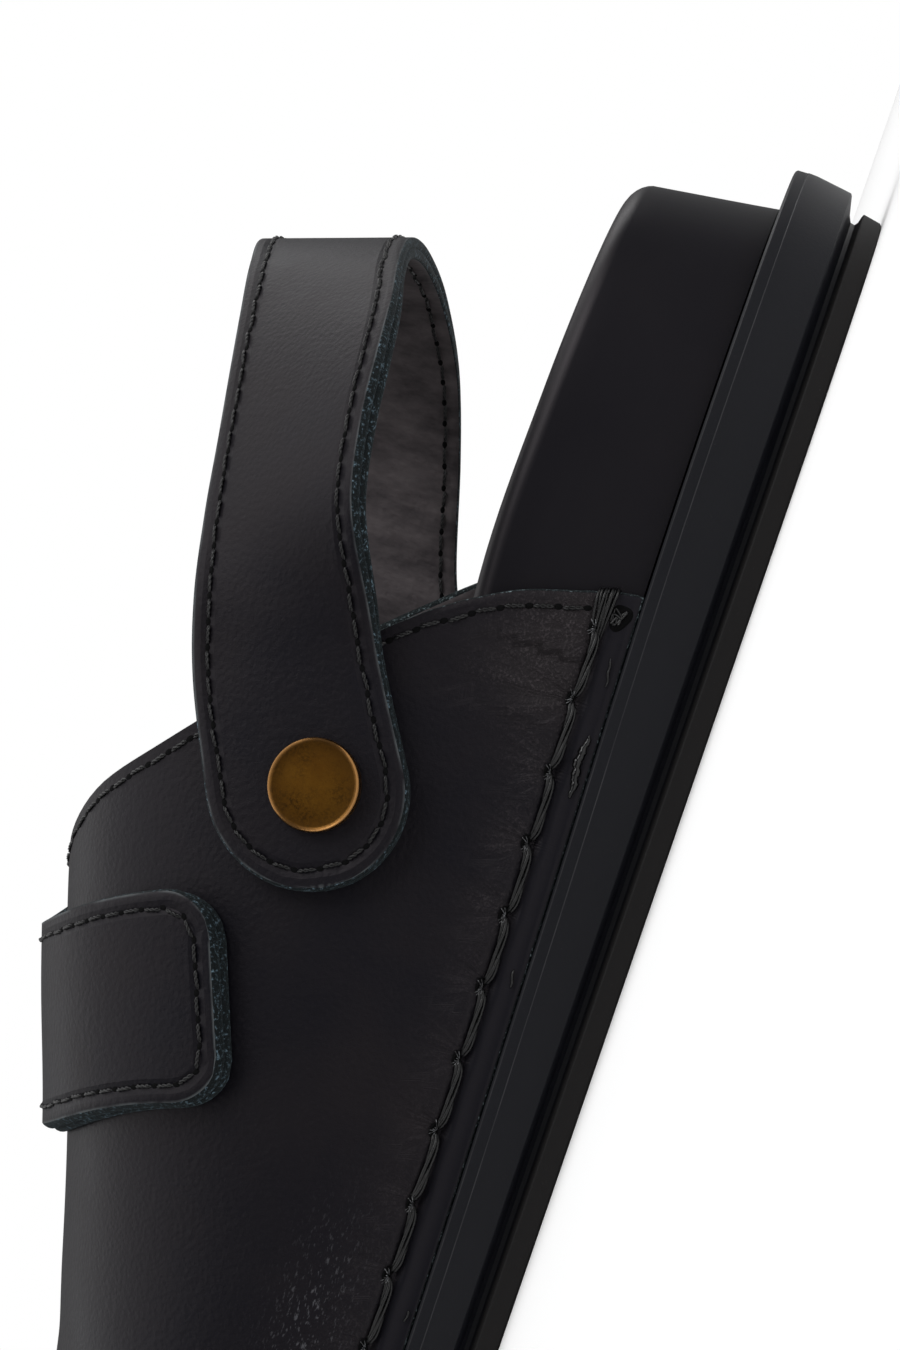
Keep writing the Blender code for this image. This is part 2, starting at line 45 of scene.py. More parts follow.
# The last and the sole in millimetres: x from the heel to the toe, y to the wearer's left, z up
lastForm = {
    "middle": (145.4, 4.56, 0.0),  # where the row's origin lies
    "gap": 0.3,
    "treadBack": 3.5,
    "treadFront": 289.5,
    "heelMid": 0.3,
    "toeMid": -4.0,
    "outline": [  # x, left, right
        (12, 23.4, -23.2), (32, 34.0, -34.4), (48, 36.8, -37.3), (70, 39.2, -39.3), (95, 43.0, -40.9),
        (120, 47.4, -42.5), (145, 51.2, -44.0), (170, 54.2, -45.2), (195, 55.6, -46.2), (218, 54.0, -46.4),
        (240, 48.8, -44.4), (260, 40.2, -39.4), (275, 29.4, -32.0), (284, 17.6, -23.6),
    ],
    "springStart": 208.0,
    "springRise": 9.0,
    "backReach": 0.9,
    "ledge": [(0, 14.0), (60, 13.8), (105, 12.6), (150, 11.6), (200, 11.2), (293, 11.0)],  # x, height
}


def pick(rows, k):
    return np.array([row[k] for row in rows], float)


def through(knots, values, at):  # smooth cubic through the knots
    knots = np.asarray(knots, float)
    values = np.asarray(values, float)
    at = np.clip(np.asarray(at, float), knots[0], knots[-1])
    steps = np.diff(knots)
    chords = np.diff(values) / steps
    slopes = np.empty(len(knots))
    slopes[0], slopes[-1] = chords[0], chords[-1]
    slopes[1:-1] = (chords[:-1] * steps[1:] + chords[1:] * steps[:-1]) / (steps[:-1] + steps[1:])
    i = np.clip(np.searchsorted(knots, at, side="right") - 1, 0, len(steps) - 1)
    s = (at - knots[i]) / steps[i]
    rise = values[i + 1] - values[i]
    start, end = slopes[i] * steps[i], slopes[i + 1] * steps[i]
    return values[i] + s * (start + s * (3 * rise - 2 * start - end + s * (start + end - 2 * rise)))


def column(rows, k, at):  # a table's column, read at a value of its first one
    return through(pick(rows, 0), pick(rows, k), at)


def springOf(x):  # toe spring
    start, end = lastForm["springStart"], lastForm["treadFront"]
    return lastForm["springRise"] * np.clip((np.asarray(x, float) - start) / (end - start), 0, None) ** 2


def ledgeOf(x):
    return column(lastForm["ledge"], 1, x)


def seatOf(x):  # where footbed and upper stand on the ledge
    return ledgeOf(x) + lastForm["gap"]


def lengthAt(t):  # t is 0 at the back of the heel and pi at the tip of the toe
    return lastForm["treadBack"] + (lastForm["treadFront"] - lastForm["treadBack"]) * (1 - np.cos(t)) / 2


def turnAt(x):
    share = (np.asarray(x, float) - lastForm["treadBack"]) / (lastForm["treadFront"] - lastForm["treadBack"])
    return np.arccos(1 - 2 * np.clip(share, 0, 1))


outlineKnots = np.concatenate(([0], turnAt(pick(lastForm["outline"], 0)), [math.pi]))
outlineSide = {
    side: np.concatenate(([lastForm["heelMid"]], pick(lastForm["outline"], k), [lastForm["toeMid"]]))
    for side, k in (("left", 1), ("right", 2))
}


def edgeOf(side, t, out):  # points of the sole's outline, moved outwards
    t = np.asarray(t, float)
    before, after = np.clip(t - 1e-3, 0, math.pi), np.clip(t + 1e-3, 0, math.pi)
    run = lengthAt(after) - lengthAt(before)
    rise = through(outlineKnots, outlineSide[side], after) - through(outlineKnots, outlineSide[side], before)
    run = np.where((t <= 0) | (t >= math.pi), 0, run)
    length = np.hypot(run, rise)
    turn = 1 if side == "left" else -1
    x = lengthAt(t) - turn * out * rise / length
    return x, through(outlineKnots, outlineSide[side], t) + turn * out * run / length


def backOf(t):  # 1 at the back of the heel
    return np.clip(1 - np.asarray(t, float) / lastForm["backReach"], 0, 1) ** 2


def ringOf(out, height, count):  # heel tip, left side, toe tip, right side back
    t = np.linspace(0, math.pi, count + 1)
    left = np.stack(edgeOf("left", t, out(t)), 1)
    right = np.stack(edgeOf("right", t[1:-1], out(t[1:-1])), 1)
    loop = np.concatenate((left, right[::-1]))
    return np.column_stack((loop, height(loop[:, 0]) + springOf(loop[:, 0])))


# Mesh helpers

def toRow(points):
    return (np.asarray(points, float) - np.array(lastForm["middle"])) * mm


def unit(vectors):
    return vectors / np.maximum(np.linalg.norm(vectors, axis=-1, keepdims=True), 1e-9)


def runOf(points):  # length along a path, at each of its points
    return np.concatenate(([0], np.cumsum(np.linalg.norm(np.diff(points, axis=0), axis=1))))


def onceRound(count):
    return 2 * math.pi * np.arange(count) / count


def addObject(name, mesh):
    item = bpy.data.objects.new(name, mesh)
    bpy.context.scene.collection.objects.link(item)
    return item


def faceOutwards(mesh, merge=False):
    body = bmesh.new()
    body.from_mesh(mesh)
    if merge:
        bmesh.ops.remove_doubles(body, verts=body.verts, dist=2e-6)
    bmesh.ops.recalc_face_normals(body, faces=body.faces)
    body.to_mesh(mesh)
    body.free()


def smoothTo(mesh, sharp):
    mesh.shade_smooth()
    mesh.set_sharp_from_angle(angle=math.radians(sharp))


def plainMesh(item):  # what its modifiers make of it
    graph = bpy.context.evaluated_depsgraph_get()
    return bpy.data.meshes.new_from_object(item.evaluated_get(graph))


def newPiece(name, points, faces, finishes, kinds=None, values=None, sharp=50.0, merge=True):
    mesh = bpy.data.meshes.new(name)
    mesh.from_pydata(toRow(points).tolist(), [], [tuple(int(k) for k in face) for face in faces])
    for finish in finishes:
        mesh.materials.append(finish)
    if kinds is not None:
        mesh.polygons.foreach_set("material_index", np.asarray(kinds, np.int32))
    for label, numbers in (values or {}).items():
        layer = mesh.attributes.new(label, "FLOAT", "POINT")
        layer.data.foreach_set("value", np.asarray(numbers, np.float32))
    faceOutwards(mesh, merge)
    smoothTo(mesh, sharp)
    return addObject(name, mesh)


def settle(piece, node=None):
    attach(piece, "root")
    if node:
        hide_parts(node)
    print(piece.name + ":", len(piece.data.polygons), "faces")


def bandFaces(levels, count):  # quads between closed loops of one count
    return [
        (a + i, a + (i + 1) % count, a + count + (i + 1) % count, a + count + i)
        for a in range(0, (levels - 1) * count, count) for i in range(count)
    ]


def stackRings(rings):  # a closed solid from loops of one count
    count = len(rings[0])
    faces = bandFaces(len(rings), count)
    for base, order in ((0, -1), ((len(rings) - 1) * count, 1)):
        for i in range(count // 2):
            loop = [base + i, base + i + 1, base + (count - i - 1) % count, base + (count - i) % count]
            faces.append(tuple(list(dict.fromkeys(loop))[::order]))
    return np.concatenate(rings), faces


def normalsOf(grid):  # along the rows crossed with across the columns
    return unit(np.cross(np.gradient(grid, axis=0), np.gradient(grid, axis=1)))


def borderOf(grid, normals, loop):  # points of a sheet's rim, their normals and the way out
    rows, cols = grid.shape[:2]
    r, c = np.array(loop).T
    spots, ups = grid[r, c], normals[r, c]
    way = unit(np.cross(np.roll(spots, -1, 0) - np.roll(spots, 1, 0), ups))
    inner = grid[np.clip(r, 1, rows - 2), np.clip(c, 1, cols - 2)]
    return spots, ups, way * np.sign(np.sum(way * (spots - inner)))


# A leather sheet with two faces and a cut edge; profile holds (share through the leather, how far out)
def slab(name, outer, inner, normals, loop, profile, finishes, values):
    rows, cols = outer.shape[:2]
    count = rows * cols
    points = list(outer.reshape(-1, 3)) + list(inner.reshape(-1, 3))
    faces, kinds = [], []
    for r in range(rows - 1):
        for c in range(cols - 1):
            k = r * cols + c
            faces.append((k, k + 1, k + cols + 1, k + cols))
            faces.append((count + k + cols, count + k + cols + 1, count + k + 1, count + k))
            kinds += [0, 1]
    _, _, way = borderOf(outer, normals, loop)
    lines = []
    for (r, c), out in zip(loop, way):
        line = [r * cols + c]
        for share, reach in profile:
            line.append(len(points))
            points.append(outer[r, c] + (inner[r, c] - outer[r, c]) * share + out * reach)
        lines.append(line + [count + r * cols + c])
    for i, line in enumerate(lines):
        other = lines[(i + 1) % len(lines)]
        for k in range(len(line) - 1):
            faces.append((line[k], other[k], other[k + 1], line[k + 1]))
            kinds.append(2)
    layers = {}
    for label, numbers in values.items():
        flat = np.asarray(numbers, float).reshape(-1)
        layers[label] = np.concatenate((flat, flat, np.zeros(len(points) - 2 * count)))
    return newPiece(name, points, faces, finishes, kinds, layers)


def sheetLoop(rows, cols):  # once round a grid
    there = [(0, c) for c in range(cols)] + [(r, cols - 1) for r in range(1, rows)]
    back = [(rows - 1, c) for c in range(cols - 2, -1, -1)] + [(r, 0) for r in range(rows - 2, 0, -1)]
    return there + back


def tubeOf(path, radius, sides):  # a round strand along a path
    path = np.asarray(path, float)
    ahead = unit(np.gradient(path, axis=0))
    side = unit(np.cross(ahead, (0.31, 0.2, 0.93)))  # a way that no strand runs
    up = np.cross(side, ahead)
    spin = onceRound(sides)
    ring = np.cos(spin)[None, :, None] * side[:, None] + np.sin(spin)[None, :, None] * up[:, None]
    points = path[:, None] + radius * ring
    caps = [tuple(range(sides))[::-1], tuple((len(path) - 1) * sides + k for k in range(sides))]
    return points.reshape(-1, 3), bandFaces(len(path), sides) + caps


def lensOf(rings, top, bottom):  # a closed plug between two points
    count = len(rings[0])
    points = np.concatenate([*rings, [top, bottom]])
    last = (len(rings) - 1) * count
    faces = bandFaces(len(rings), count)
    for k in range(count):
        m = (k + 1) % count
        faces += [(len(points) - 2, m, k), (len(points) - 1, last + k, last + m)]
    return points, faces


def gather(parts):  # several shapes as one
    points, faces = [], []
    for some, sides in parts:
        faces += [tuple(k + len(points) for k in side) for side in sides]
        points += list(some)
    return points, faces


# Node helpers

def putNode(tree, kind, settings=None, values=None):  # settings first, then a value or link per socket
    node = tree.nodes.new(kind)
    for label, value in (settings or {}).items():
        setattr(node, label, value)
    for label, value in (values or {}).items():
        if isinstance(value, bpy.types.NodeSocket):
            tree.links.new(value, node.inputs[label])
        else:
            node.inputs[label].default_value = value
    return node


def newTree(name, sizes):  # a path in, a mesh out
    tree = bpy.data.node_groups.new(name, "GeometryNodeTree")
    tree.interface.new_socket("Path", in_out="INPUT", socket_type="NodeSocketGeometry")
    for label, value in sizes.items():
        kind = "NodeSocketInt" if isinstance(value, int) else "NodeSocketFloat"
        tree.interface.new_socket(label, in_out="INPUT", socket_type=kind).default_value = value
    tree.interface.new_socket("Mesh", in_out="OUTPUT", socket_type="NodeSocketGeometry")
    return tree, putNode(tree, "NodeGroupInput").outputs


def closeTree(tree, geometry, finish):
    plain = putNode(tree, "GeometryNodeRealizeInstances", {}, {"Geometry": geometry})
    dressed = putNode(tree, "GeometryNodeSetMaterial", {}, {
        "Geometry": plain.outputs[0], "Material": finish})
    putNode(tree, "NodeGroupOutput", {}, {"Mesh": dressed.outputs[0]})
    return tree


def bake(name, tree, points, edges, sizes, ups=None):
    mesh = bpy.data.meshes.new(name + "Path")
    mesh.from_pydata(toRow(points).tolist(), edges, [])
    if ups is not None:
        layer = mesh.attributes.new("up", "FLOAT_VECTOR", "POINT")
        layer.data.foreach_set("vector", np.asarray(ups, np.float32).ravel())
    carrier = addObject(name + "Path", mesh)
    modifier = carrier.modifiers.new("tree", "NODES")
    modifier.node_group = tree
    sockets = {item.name: item.identifier for item in tree.interface.items_tree if item.in_out == "INPUT"}
    for label, value in sizes.items():
        modifier[sockets[label]] = value
    result = plainMesh(carrier)
    bpy.data.objects.remove(carrier, do_unlink=True)
    faceOutwards(result)
    return addObject(name, result)


class Wire:  # shader maths as plain expressions
    def __init__(self, finish, socket):
        self.finish, self.socket = finish, socket

    def sum(self, operation, a, b):
        return self.finish.add("ShaderNodeMath", {"operation": operation}, {0: a, 1: b})

    def __add__(self, other):
        return self.sum("ADD", self, other)

    def __sub__(self, other):
        return self.sum("SUBTRACT", self, other)

    def __rsub__(self, other):
        return self.sum("SUBTRACT", other, self)

    def __mul__(self, other):
        return self.sum("MULTIPLY", self, other)

    __radd__ = __add__
    __rmul__ = __mul__


class Finish:
    def __init__(self, name, fixed):
        self.material = bpy.data.materials.new(name)
        self.material.use_nodes = True
        self.tree = self.material.node_tree
        self.shader = self.tree.nodes["Principled BSDF"]
        for label, value in fixed.items():
            self.shader.inputs[label].default_value = value
        self.spot = self.add("ShaderNodeTexCoord", {}, {}, "Object")

    def add(self, kind, settings, values, output=0):
        plain = {
            label: value.socket if isinstance(value, Wire) else value for label, value in values.items()}
        return Wire(self, putNode(self.tree, kind, settings, plain).outputs[output])

    def noise(self, scale, detail=3.0, rough=0.55, stretch=None):
        spot = self.spot
        if stretch:
            spot = self.add("ShaderNodeMapping", {}, {"Vector": spot, "Scale": stretch})
        return self.add("ShaderNodeTexNoise", {}, {
            "Vector": spot, "Scale": scale, "Detail": detail, "Roughness": rough})

    def streaks(self, label, scale):  # noise that runs with a stored value
        return self.add("ShaderNodeTexNoise", {"noise_dimensions": "1D"}, {
            "W": self.layer(label), "Scale": scale})

    def cells(self, scale, feature="F1"):
        return self.add("ShaderNodeTexVoronoi", {"feature": feature}, {"Vector": self.spot, "Scale": scale})

    def band(self, value, low, high, first=0.0, last=1.0):  # low..high to first..last, held beyond
        return self.add("ShaderNodeMapRange", {}, {
            "Value": value, "From Min": low, "From Max": high, "To Min": first, "To Max": last})

    def blend(self, share, a, b):
        return self.add("ShaderNodeMix", {"data_type": "RGBA"}, {0: share, 6: a, 7: b}, 2)

    def layer(self, label):
        return self.add("ShaderNodeAttribute", {"attribute_name": label}, {}, "Fac")

    def wear(self, color, roughness=None, height=None, depth=0.1, strength=1.0):  # depth in mm
        self.tree.links.new(color.socket, self.shader.inputs["Base Color"])
        if roughness:
            self.tree.links.new(roughness.socket, self.shader.inputs["Roughness"])
        if height:
            bump = self.add("ShaderNodeBump", {}, {
                "Strength": strength, "Distance": depth * mm, "Height": height})
            self.tree.links.new(bump.socket, self.shader.inputs["Normal"])
        return self.material


leatherLook = {
    "black": (0.0022, 0.0026, 0.0052, 1),
    "brown": (0.0057, 0.0048, 0.0064, 1),
    "fleck": (0.016, 0.0148, 0.017, 1),
    "speck": (0.05, 0.049, 0.054, 1),
    "wearHazeAndSheen": (0.017, 0.0145, 0.0148, 1),
    "scale": (0.046, 0.040, 0.043, 1),
    "scuff": (0.085, 0.086, 0.095, 1),
    "smooth": (0.0046, 0.0049, 0.0078, 1),
    "edgeHighlight": (0.085, 0.096, 0.1, 1),
    "tint": (1.0, 0.91, 0.95, 1),
    "specular": 0.18,
    "roughness": 0.47,
    "bump": (0.14, 0.7),  # depth in mm, strength
    "cloudNoise": (38.0, 4.0, 0.6),  # scale, detail, roughness
    "poreNoise": (5200.0, 2.0),
    "fleckNoise": (2900.0, 2.0, 0.6),
    "creaseNoise": (420.0, 5.0, 0.62),
    "scaleNoise": (2700.0, 2.0, 0.7),
    "scratchNoise": (2100.0, 2.0, 0.7, (0.45, 1.0, 1.4)),
    "speckPatches": 55.0,
    "edgeHighlightPatches": 160.0,
    "foldStreaks": 4.5,
    "grainCells": 1500.0,
    "speckCells": 330.0,
    "stitchLine": 2.2,  # from the cut edge, mm
}


def leatherFinish(name, wornAndSheen=False, rim=False, brown=1.0):
    look = leatherLook
    f = Finish(name, {"Specular IOR Level": look["specular"], "Specular Tint": look["tint"]})
    clouds = f.noise(*look["cloudNoise"])
    pores = f.noise(*look["poreNoise"])
    color = f.blend(f.band(clouds, 0.34, 0.72, 0.0, brown), look["black"], look["brown"])
    color = f.blend(f.band(f.noise(*look["fleckNoise"]), 0.56, 0.78) * 0.35, color, look["fleck"])
    specks = f.band(f.cells(look["speckCells"]), 0.0, 0.055, 1.0, 0.0)
    specks = specks * f.band(f.noise(look["speckPatches"]), 0.56, 0.66)
    color = f.blend(specks * 0.5, color, look["speck"])
    grain = f.cells(look["grainCells"], "SMOOTH_F1")
    height = grain * 0.55 + pores * 0.4 + f.noise(*look["creaseNoise"]) * 0.28
    roughness = look["roughness"] + (clouds - 0.5) * 0.2 + (pores - 0.5) * 0.16
    if wornAndSheen:  # scaly grain by the seam and the rear corners with a brown haze there, wear and partly painted sheen; a scuffed side, a smooth band under the seam
        wearAndSheen, scuff, strip = (f.layer(label) for label in ("wornAndSheen", "scuff", "strip"))
        scales, folds = f.noise(*look["scaleNoise"]), f.streaks("fan", look["foldStreaks"])
        height = height + wearAndSheen * (scales * 2.6 + folds * 5.0)
        color = f.blend(wearAndSheen * 0.55, color, look["wearHazeAndSheen"])
        # pale flakes on the raised scales, brighter along the pucker folds: wear, partly painted light on the
        # folds
        flakesAndFoldLight = wearAndSheen * f.band(scales, 0.52, 0.66) * f.band(folds, 0.35, 0.6, 0.3, 0.8)
        color = f.blend(flakesAndFoldLight, color, look["scale"])
        scratches = f.noise(*look["scratchNoise"])
        color = f.blend(scuff * f.band(scratches, 0.58, 0.68) * 0.8, color, look["scuff"])
        roughness = roughness - wearAndSheen * f.band(scales, 0.5, 0.75) * 0.2
        color = f.blend(strip, color, look["smooth"])
        height = height * (1 - strip * 0.85)
        roughness = roughness - strip * 0.05
    if rim:  # painted highlight along the cut edge, sunk along the stitches
        fromEdge = f.layer("rim")
        line = look["stitchLine"]
        sunk = f.band(fromEdge, line - 1, line) * f.band(fromEdge, line, line + 1, 1.0, 0.0)
        height = height - sunk * 3.0
        # a pale line by the cut edge in patches: painted highlight
        pale = f.band(fromEdge, 0.05, 0.35, 1.0, 0.0) * f.band(f.noise(look["edgeHighlightPatches"]), 0.36, 0.58)
        color = f.blend(pale * 0.8, color, look["edgeHighlight"])
    return f.wear(color, roughness, height, *look["bump"])


liningLook = {
    # the lining's own tone, lifted partly as painted light on the inner face
    "dark": (0.05, 0.044, 0.047, 1),
    "pale": (0.138, 0.121, 0.124, 1),
    "specular": 0.25,
    "roughness": 0.55,
    "bump": (0.16, 0.8),
    "wrinkleNoise": (260.0, 5.0, 0.65, (1.0, 1.0, 0.35)),
    "grainCells": 1100.0,
}


def liningFinish(name):  # grained inner face with cross wrinkles, darker in their creases as painted shade
    look = liningLook
    f = Finish(name, {"Specular IOR Level": look["specular"], "Specular Tint": leatherLook["tint"]})
    wrinkles = f.noise(*look["wrinkleNoise"])
    # paler on the wrinkles' ridges and darker in their creases: painted shade
    color = f.blend(f.band(wrinkles, 0.35, 0.7), look["dark"], look["pale"])
    height = wrinkles * 1.2 + f.cells(look["grainCells"], "SMOOTH_F1") * 0.6
    return f.wear(color, look["roughness"] + (wrinkles - 0.5) * 0.3, height, *look["bump"])


edgeLook = {
    "dark": (0.0032, 0.0056, 0.0066, 1),
    "strapFibre": (0.142, 0.213, 0.262, 1),
    "collarFibre": (0.26, 0.335, 0.36, 1),
    "sheen": {"Sheen Weight": 0.06, "Sheen Tint": (0.5, 0.62, 0.66, 1), "Sheen Roughness": 0.5},
    "specular": 0.2,
    "roughness": 0.85,
    "bump": (0.3, 1.0),
    "fibreNoise": (1900.0, 3.0, 0.75),
    "tuftNoise": (600.0, 3.0, 0.6),
}


def rawEdgeFinish(name, fibre):  # dyed fibres of the cut edge
    look = edgeLook
    f = Finish(name, {"Specular IOR Level": look["specular"], **look["sheen"]})
    fibres, tufts = f.noise(*look["fibreNoise"]), f.noise(*look["tuftNoise"])
    share = f.band(fibres, 0.54, 0.68) * f.band(tufts, 0.3, 0.62)
    color = f.blend(share, look["dark"], look[fibre])
    return f.wear(color, look["roughness"] + (fibres - 0.5) * 0.2, fibres + tufts * 0.8, *look["bump"])


threadLook = {  # a dark and a pale colour each, then noise scales
    "thread": ((0.0016, 0.0016, 0.002, 1), (0.0072, 0.007, 0.0079, 1)),
    # painted shade of the stitch holes
    "hole": ((0.001, 0.001, 0.0012, 1), (0.003, 0.003, 0.0032, 1)),
    "tuft": ((0.006, 0.0062, 0.007, 1), (0.24, 0.245, 0.26, 1)),
    "threadWax": 1800.0,
    "holeShade": 2000.0,
    "holeGrit": 900.0,
    "tuftWax": (2400.0, 2.0),
    "bump": (0.08, 0.6),
}


def threadFinish(name, roughness):  # waxed
    f = Finish(name, {"Specular IOR Level": 0.45})
    wax = f.noise(threadLook["threadWax"])
    color = f.blend(f.band(wax, 0.45, 0.75), *threadLook["thread"])
    return f.wear(color, roughness + (wax - 0.5) * 0.3, wax, *threadLook["bump"])


# dark plugs at the stitch holes: painted shade inside the holes
def holeShadeFinish(name):
    f = Finish(name, {"Specular IOR Level": 0.1})
    color = f.blend(f.noise(threadLook["holeShade"]), *threadLook["hole"])
    return f.wear(color, f.noise(threadLook["holeGrit"]) * 0.2 + 0.8)


def tuftFinish(name):
    f = Finish(name, {"Specular IOR Level": 0.6})
    wax = f.noise(*threadLook["tuftWax"])
    color = f.blend(f.band(wax, 0.42, 0.7), *threadLook["tuft"])
    return f.wear(color, wax * 0.3 + 0.25)


brassLook = {
    "shade": (0.125, 0.052, 0.008, 1),
    "amber": (0.2, 0.092, 0.013, 1),
    "brown": (0.082, 0.037, 0.0085, 1),
    "tarnish": (0.03, 0.016, 0.006, 1),
    "bright": (0.28, 0.155, 0.035, 1),
    "rubbed": (0.34, 0.175, 0.065, 1),
    "roughness": 0.42,
    "bump": (0.03, 0.5),
    "patinaNoise": (130.0, 4.0, 0.6),
    "gritNoise": (420.0, 4.0, 0.65),
    "fleckNoise": (2300.0, 3.0, 0.7),
}


def brassFinish(name):
    look = brassLook
    f = Finish(name, {"Metallic": 1.0})
    flecks = f.noise(*look["fleckNoise"])
    rubbed, dull = f.layer("rubbed"), f.layer("dull")
    color = f.blend(f.band(f.noise(*look["patinaNoise"]), 0.3, 0.7), look["shade"], look["amber"])
    color = f.blend(dull * 0.7, color, look["brown"])
    grit = f.band(f.noise(*look["gritNoise"]), 0.3, 0.7) * f.band(flecks, 0.44, 0.6)
    color = f.blend(grit * 0.8, color, look["tarnish"])
    color = f.blend(f.band(flecks, 0.24, 0.38, 0.35, 0.0), color, look["bright"])
    color = f.blend(rubbed * 0.8, color, look["rubbed"])
    roughness = look["roughness"] + (flecks - 0.5) * 0.25 - rubbed * 0.2
    return f.wear(color, roughness, flecks, *look["bump"])


rubberLook = {
    "wall": (0.0040, 0.0044, 0.0070, 1),
    "bloom": (0.0058, 0.0062, 0.0092, 1),
    "plate": (0.0145, 0.0130, 0.0124, 1),
    "dust": (0.09, 0.085, 0.085, 1),
    "grooveShade": (0.006, 0.006, 0.0065, 1),
    "line": (0.04, 0.04, 0.044, 1),
    "lint": (0.16, 0.155, 0.15, 1),
    "plateTop": (3.2, 3.6),  # heights in mm
    # heights over which the grooves get painted shade, mm
    "grooves": (0.4, 2.2),
    "specular": 0.21,
    "roughness": 0.5,
    "bump": (0.05, 0.5),
    "bloomNoise": (26.0, 4.0, 0.6),
    "dustNoise": (2100.0, 3.0, 0.7),
    "linePatches": 90.0,
    "lintCells": 240.0,
    "lintPatches": 60.0,
}


def rubberFinish(name):
    look = rubberLook
    f = Finish(name, {"Specular IOR Level": look["specular"]})
    bloom = f.noise(*look["bloomNoise"])
    dust = f.noise(*look["dustNoise"])
    z = f.add("ShaderNodeSeparateXYZ", {}, {0: f.spot}, "Z")
    plate = f.band(z, *(v * mm for v in look["plateTop"]), 1.0, 0.0)  # the tread plate is drier than the wall
    # painted shade: darker from 0.4 to 2.2 mm up, inside the grooves and up the tread plate's side
    grooveShade = f.band(z, *(v * mm for v in look["grooves"])) * plate
    color = f.blend(f.band(bloom, 0.3, 0.75), look["wall"], look["bloom"])
    color = f.blend(plate * 0.8, color, look["plate"])
    color = f.blend(f.band(dust, 0.66, 0.8) * (0.16 + plate * 0.3), color, look["dust"])
    color = f.blend(grooveShade * 0.35, color, look["grooveShade"])
    line = f.layer("line") * f.band(f.noise(look["linePatches"]), 0.35, 0.7, 0.25, 1.0)
    color = f.blend(line, color, look["line"])
    lint = f.band(f.cells(look["lintCells"]), 0.0, 0.04, 1.0, 0.0)
    lint = lint * f.band(f.noise(look["lintPatches"]), 0.6, 0.68)
    color = f.blend(lint * 0.5, color, look["lint"])
    roughness = look["roughness"] + (bloom - 0.5) * 0.12 + plate * 0.18
    return f.wear(color, roughness, dust, *look["bump"])


footbedLook = {
    "wall": ((0.0034, 0.0036, 0.0058, 1), (0.0050, 0.0049, 0.0067, 1)),
    "nap": (0.02, 0.017, 0.0165, 1),
    "specular": 0.22,
    "roughness": 0.36,
    "bump": (0.06, 0.5),
    "driftNoise": (30.0, 4.0, 0.6),
    "napNoise": (900.0, 5.0, 0.7),
    "grainNoise": (3400.0, 2.0),
}


def footbedFinish(name):  # polished wall, napped top
    look = footbedLook
    f = Finish(name, {"Specular IOR Level": look["specular"], "Specular Tint": leatherLook["tint"]})
    drift, nap, top = f.noise(*look["driftNoise"]), f.noise(*look["napNoise"]), f.layer("top")
    color = f.blend(f.band(drift, 0.35, 0.7), *look["wall"])
    color = f.blend(top * f.band(nap, 0.3, 0.7), color, look["nap"])
    height = f.noise(*look["grainNoise"]) * 0.3 + top * nap * 1.6
    return f.wear(color, look["roughness"] + (drift - 0.5) * 0.1 + top * 0.34, height, *look["bump"])


upperLeather = leatherFinish("upperLeather", wornAndSheen=True)
strapLeather = leatherFinish("strapLeather", rim=True, brown=1.15)
strapLining = liningFinish("strapLining")
upperLining = liningFinish("upperLining")
strapEdge = rawEdgeFinish("strapEdge", "strapFibre")
collarEdge = rawEdgeFinish("collarEdge", "collarFibre")
fineThread = threadFinish("fineThread", 0.4)
seamThread = threadFinish("seamThread", 0.3)
stitchHoleShade = holeShadeFinish("stitchHoleShade")
waxTuft = tuftFinish("waxTuft")
antiqueBrass = brassFinish("antiqueBrass")
glueFinish = threadFinish("glueFinish", 0.16)
soleRubber = rubberFinish("soleRubber")
footbedSkin = footbedFinish("footbedSkin")
print("finishes ready")


# Sole unit: tread plate, concave step, wall, lip

soleUnit = {
    "rungs": 132,
    "wallBack": 2.2,
    "side": [  # from the ledge, z, out, share of the fuller back, pale line
        (0, 0.0, -0.25, 0, 0), (0, 0.1, 0.12, 0, 0), (0, 0.35, 0.4, 0, 0), (0, 2.75, 0.88, 0, 0),
        (0, 2.93, 0.82, 0, 0), (0, 3.08, 0.4, 0, 0), (0, 3.3, -0.45, 0, 0), (0, 3.65, -0.88, 0, 0),
        (0, 4.25, -0.95, 0.1, 0), (0, 4.7, -0.62, 0.4, 0), (0, 5.05, 0.15, 0.75, 0), (0, 5.3, 0.82, 0.95, 0),
        (0, 5.5, 1.04, 1, 0), (0, 5.85, 1.12, 1, 0), (1, -3.2, 1.86, 1, 0), (1, -2.0, 1.92, 1, 0),
        (1, -1.9, 1.93, 1, 1), (1, -1.8, 1.85, 1, 0), (1, -0.42, 1.82, 1, 0), (1, -0.34, 1.82, 1, 1),
        (1, -0.24, 1.74, 1, 0), (1, -0.06, 1.55, 1, 0), (1, 0.0, 1.3, 1, 0),
    ],
    "sharp": 28.0,
    "waveStep": (11.39, 10.25),
    "waveStart": (22.0, 13.75),
    "waveSegments": 8,
    "waveRows": 20,
    "groove": {"opening": 2.9, "floor": 2.0, "depth": 2.4},
    "grooveMargin": 3.64,  # plain rim round the grooves
    "marginRungs": 60,
    "overrun": 1.0,  # cutters reach past the tread
    "sliver": 1e-5,
}


def waveLine(family, row):  # one stair of quarter ellipses
    stepX, stepY = soleUnit["waveStep"]
    startX, startY = soleUnit["waveStart"]
    turn = np.linspace(0, math.pi / 2, soleUnit["waveSegments"] + 1)[:-1]
    bend, straight = 1 - np.cos(turn), np.sin(turn)
    pairs = [(bend, straight), (straight, bend)][::family]
    points = []
    for i in range(-1, int(lastForm["treadFront"] / stepX / 2) + 1):
        for k, (a, b) in enumerate(pairs):
            x = startX + (2 * i + k) * stepX
            y = startY + (2 * row + family * (2 * i + k)) * stepY
            points.append(np.column_stack((x + stepX * a, y + family * stepY * b)))
    return np.concatenate(points)


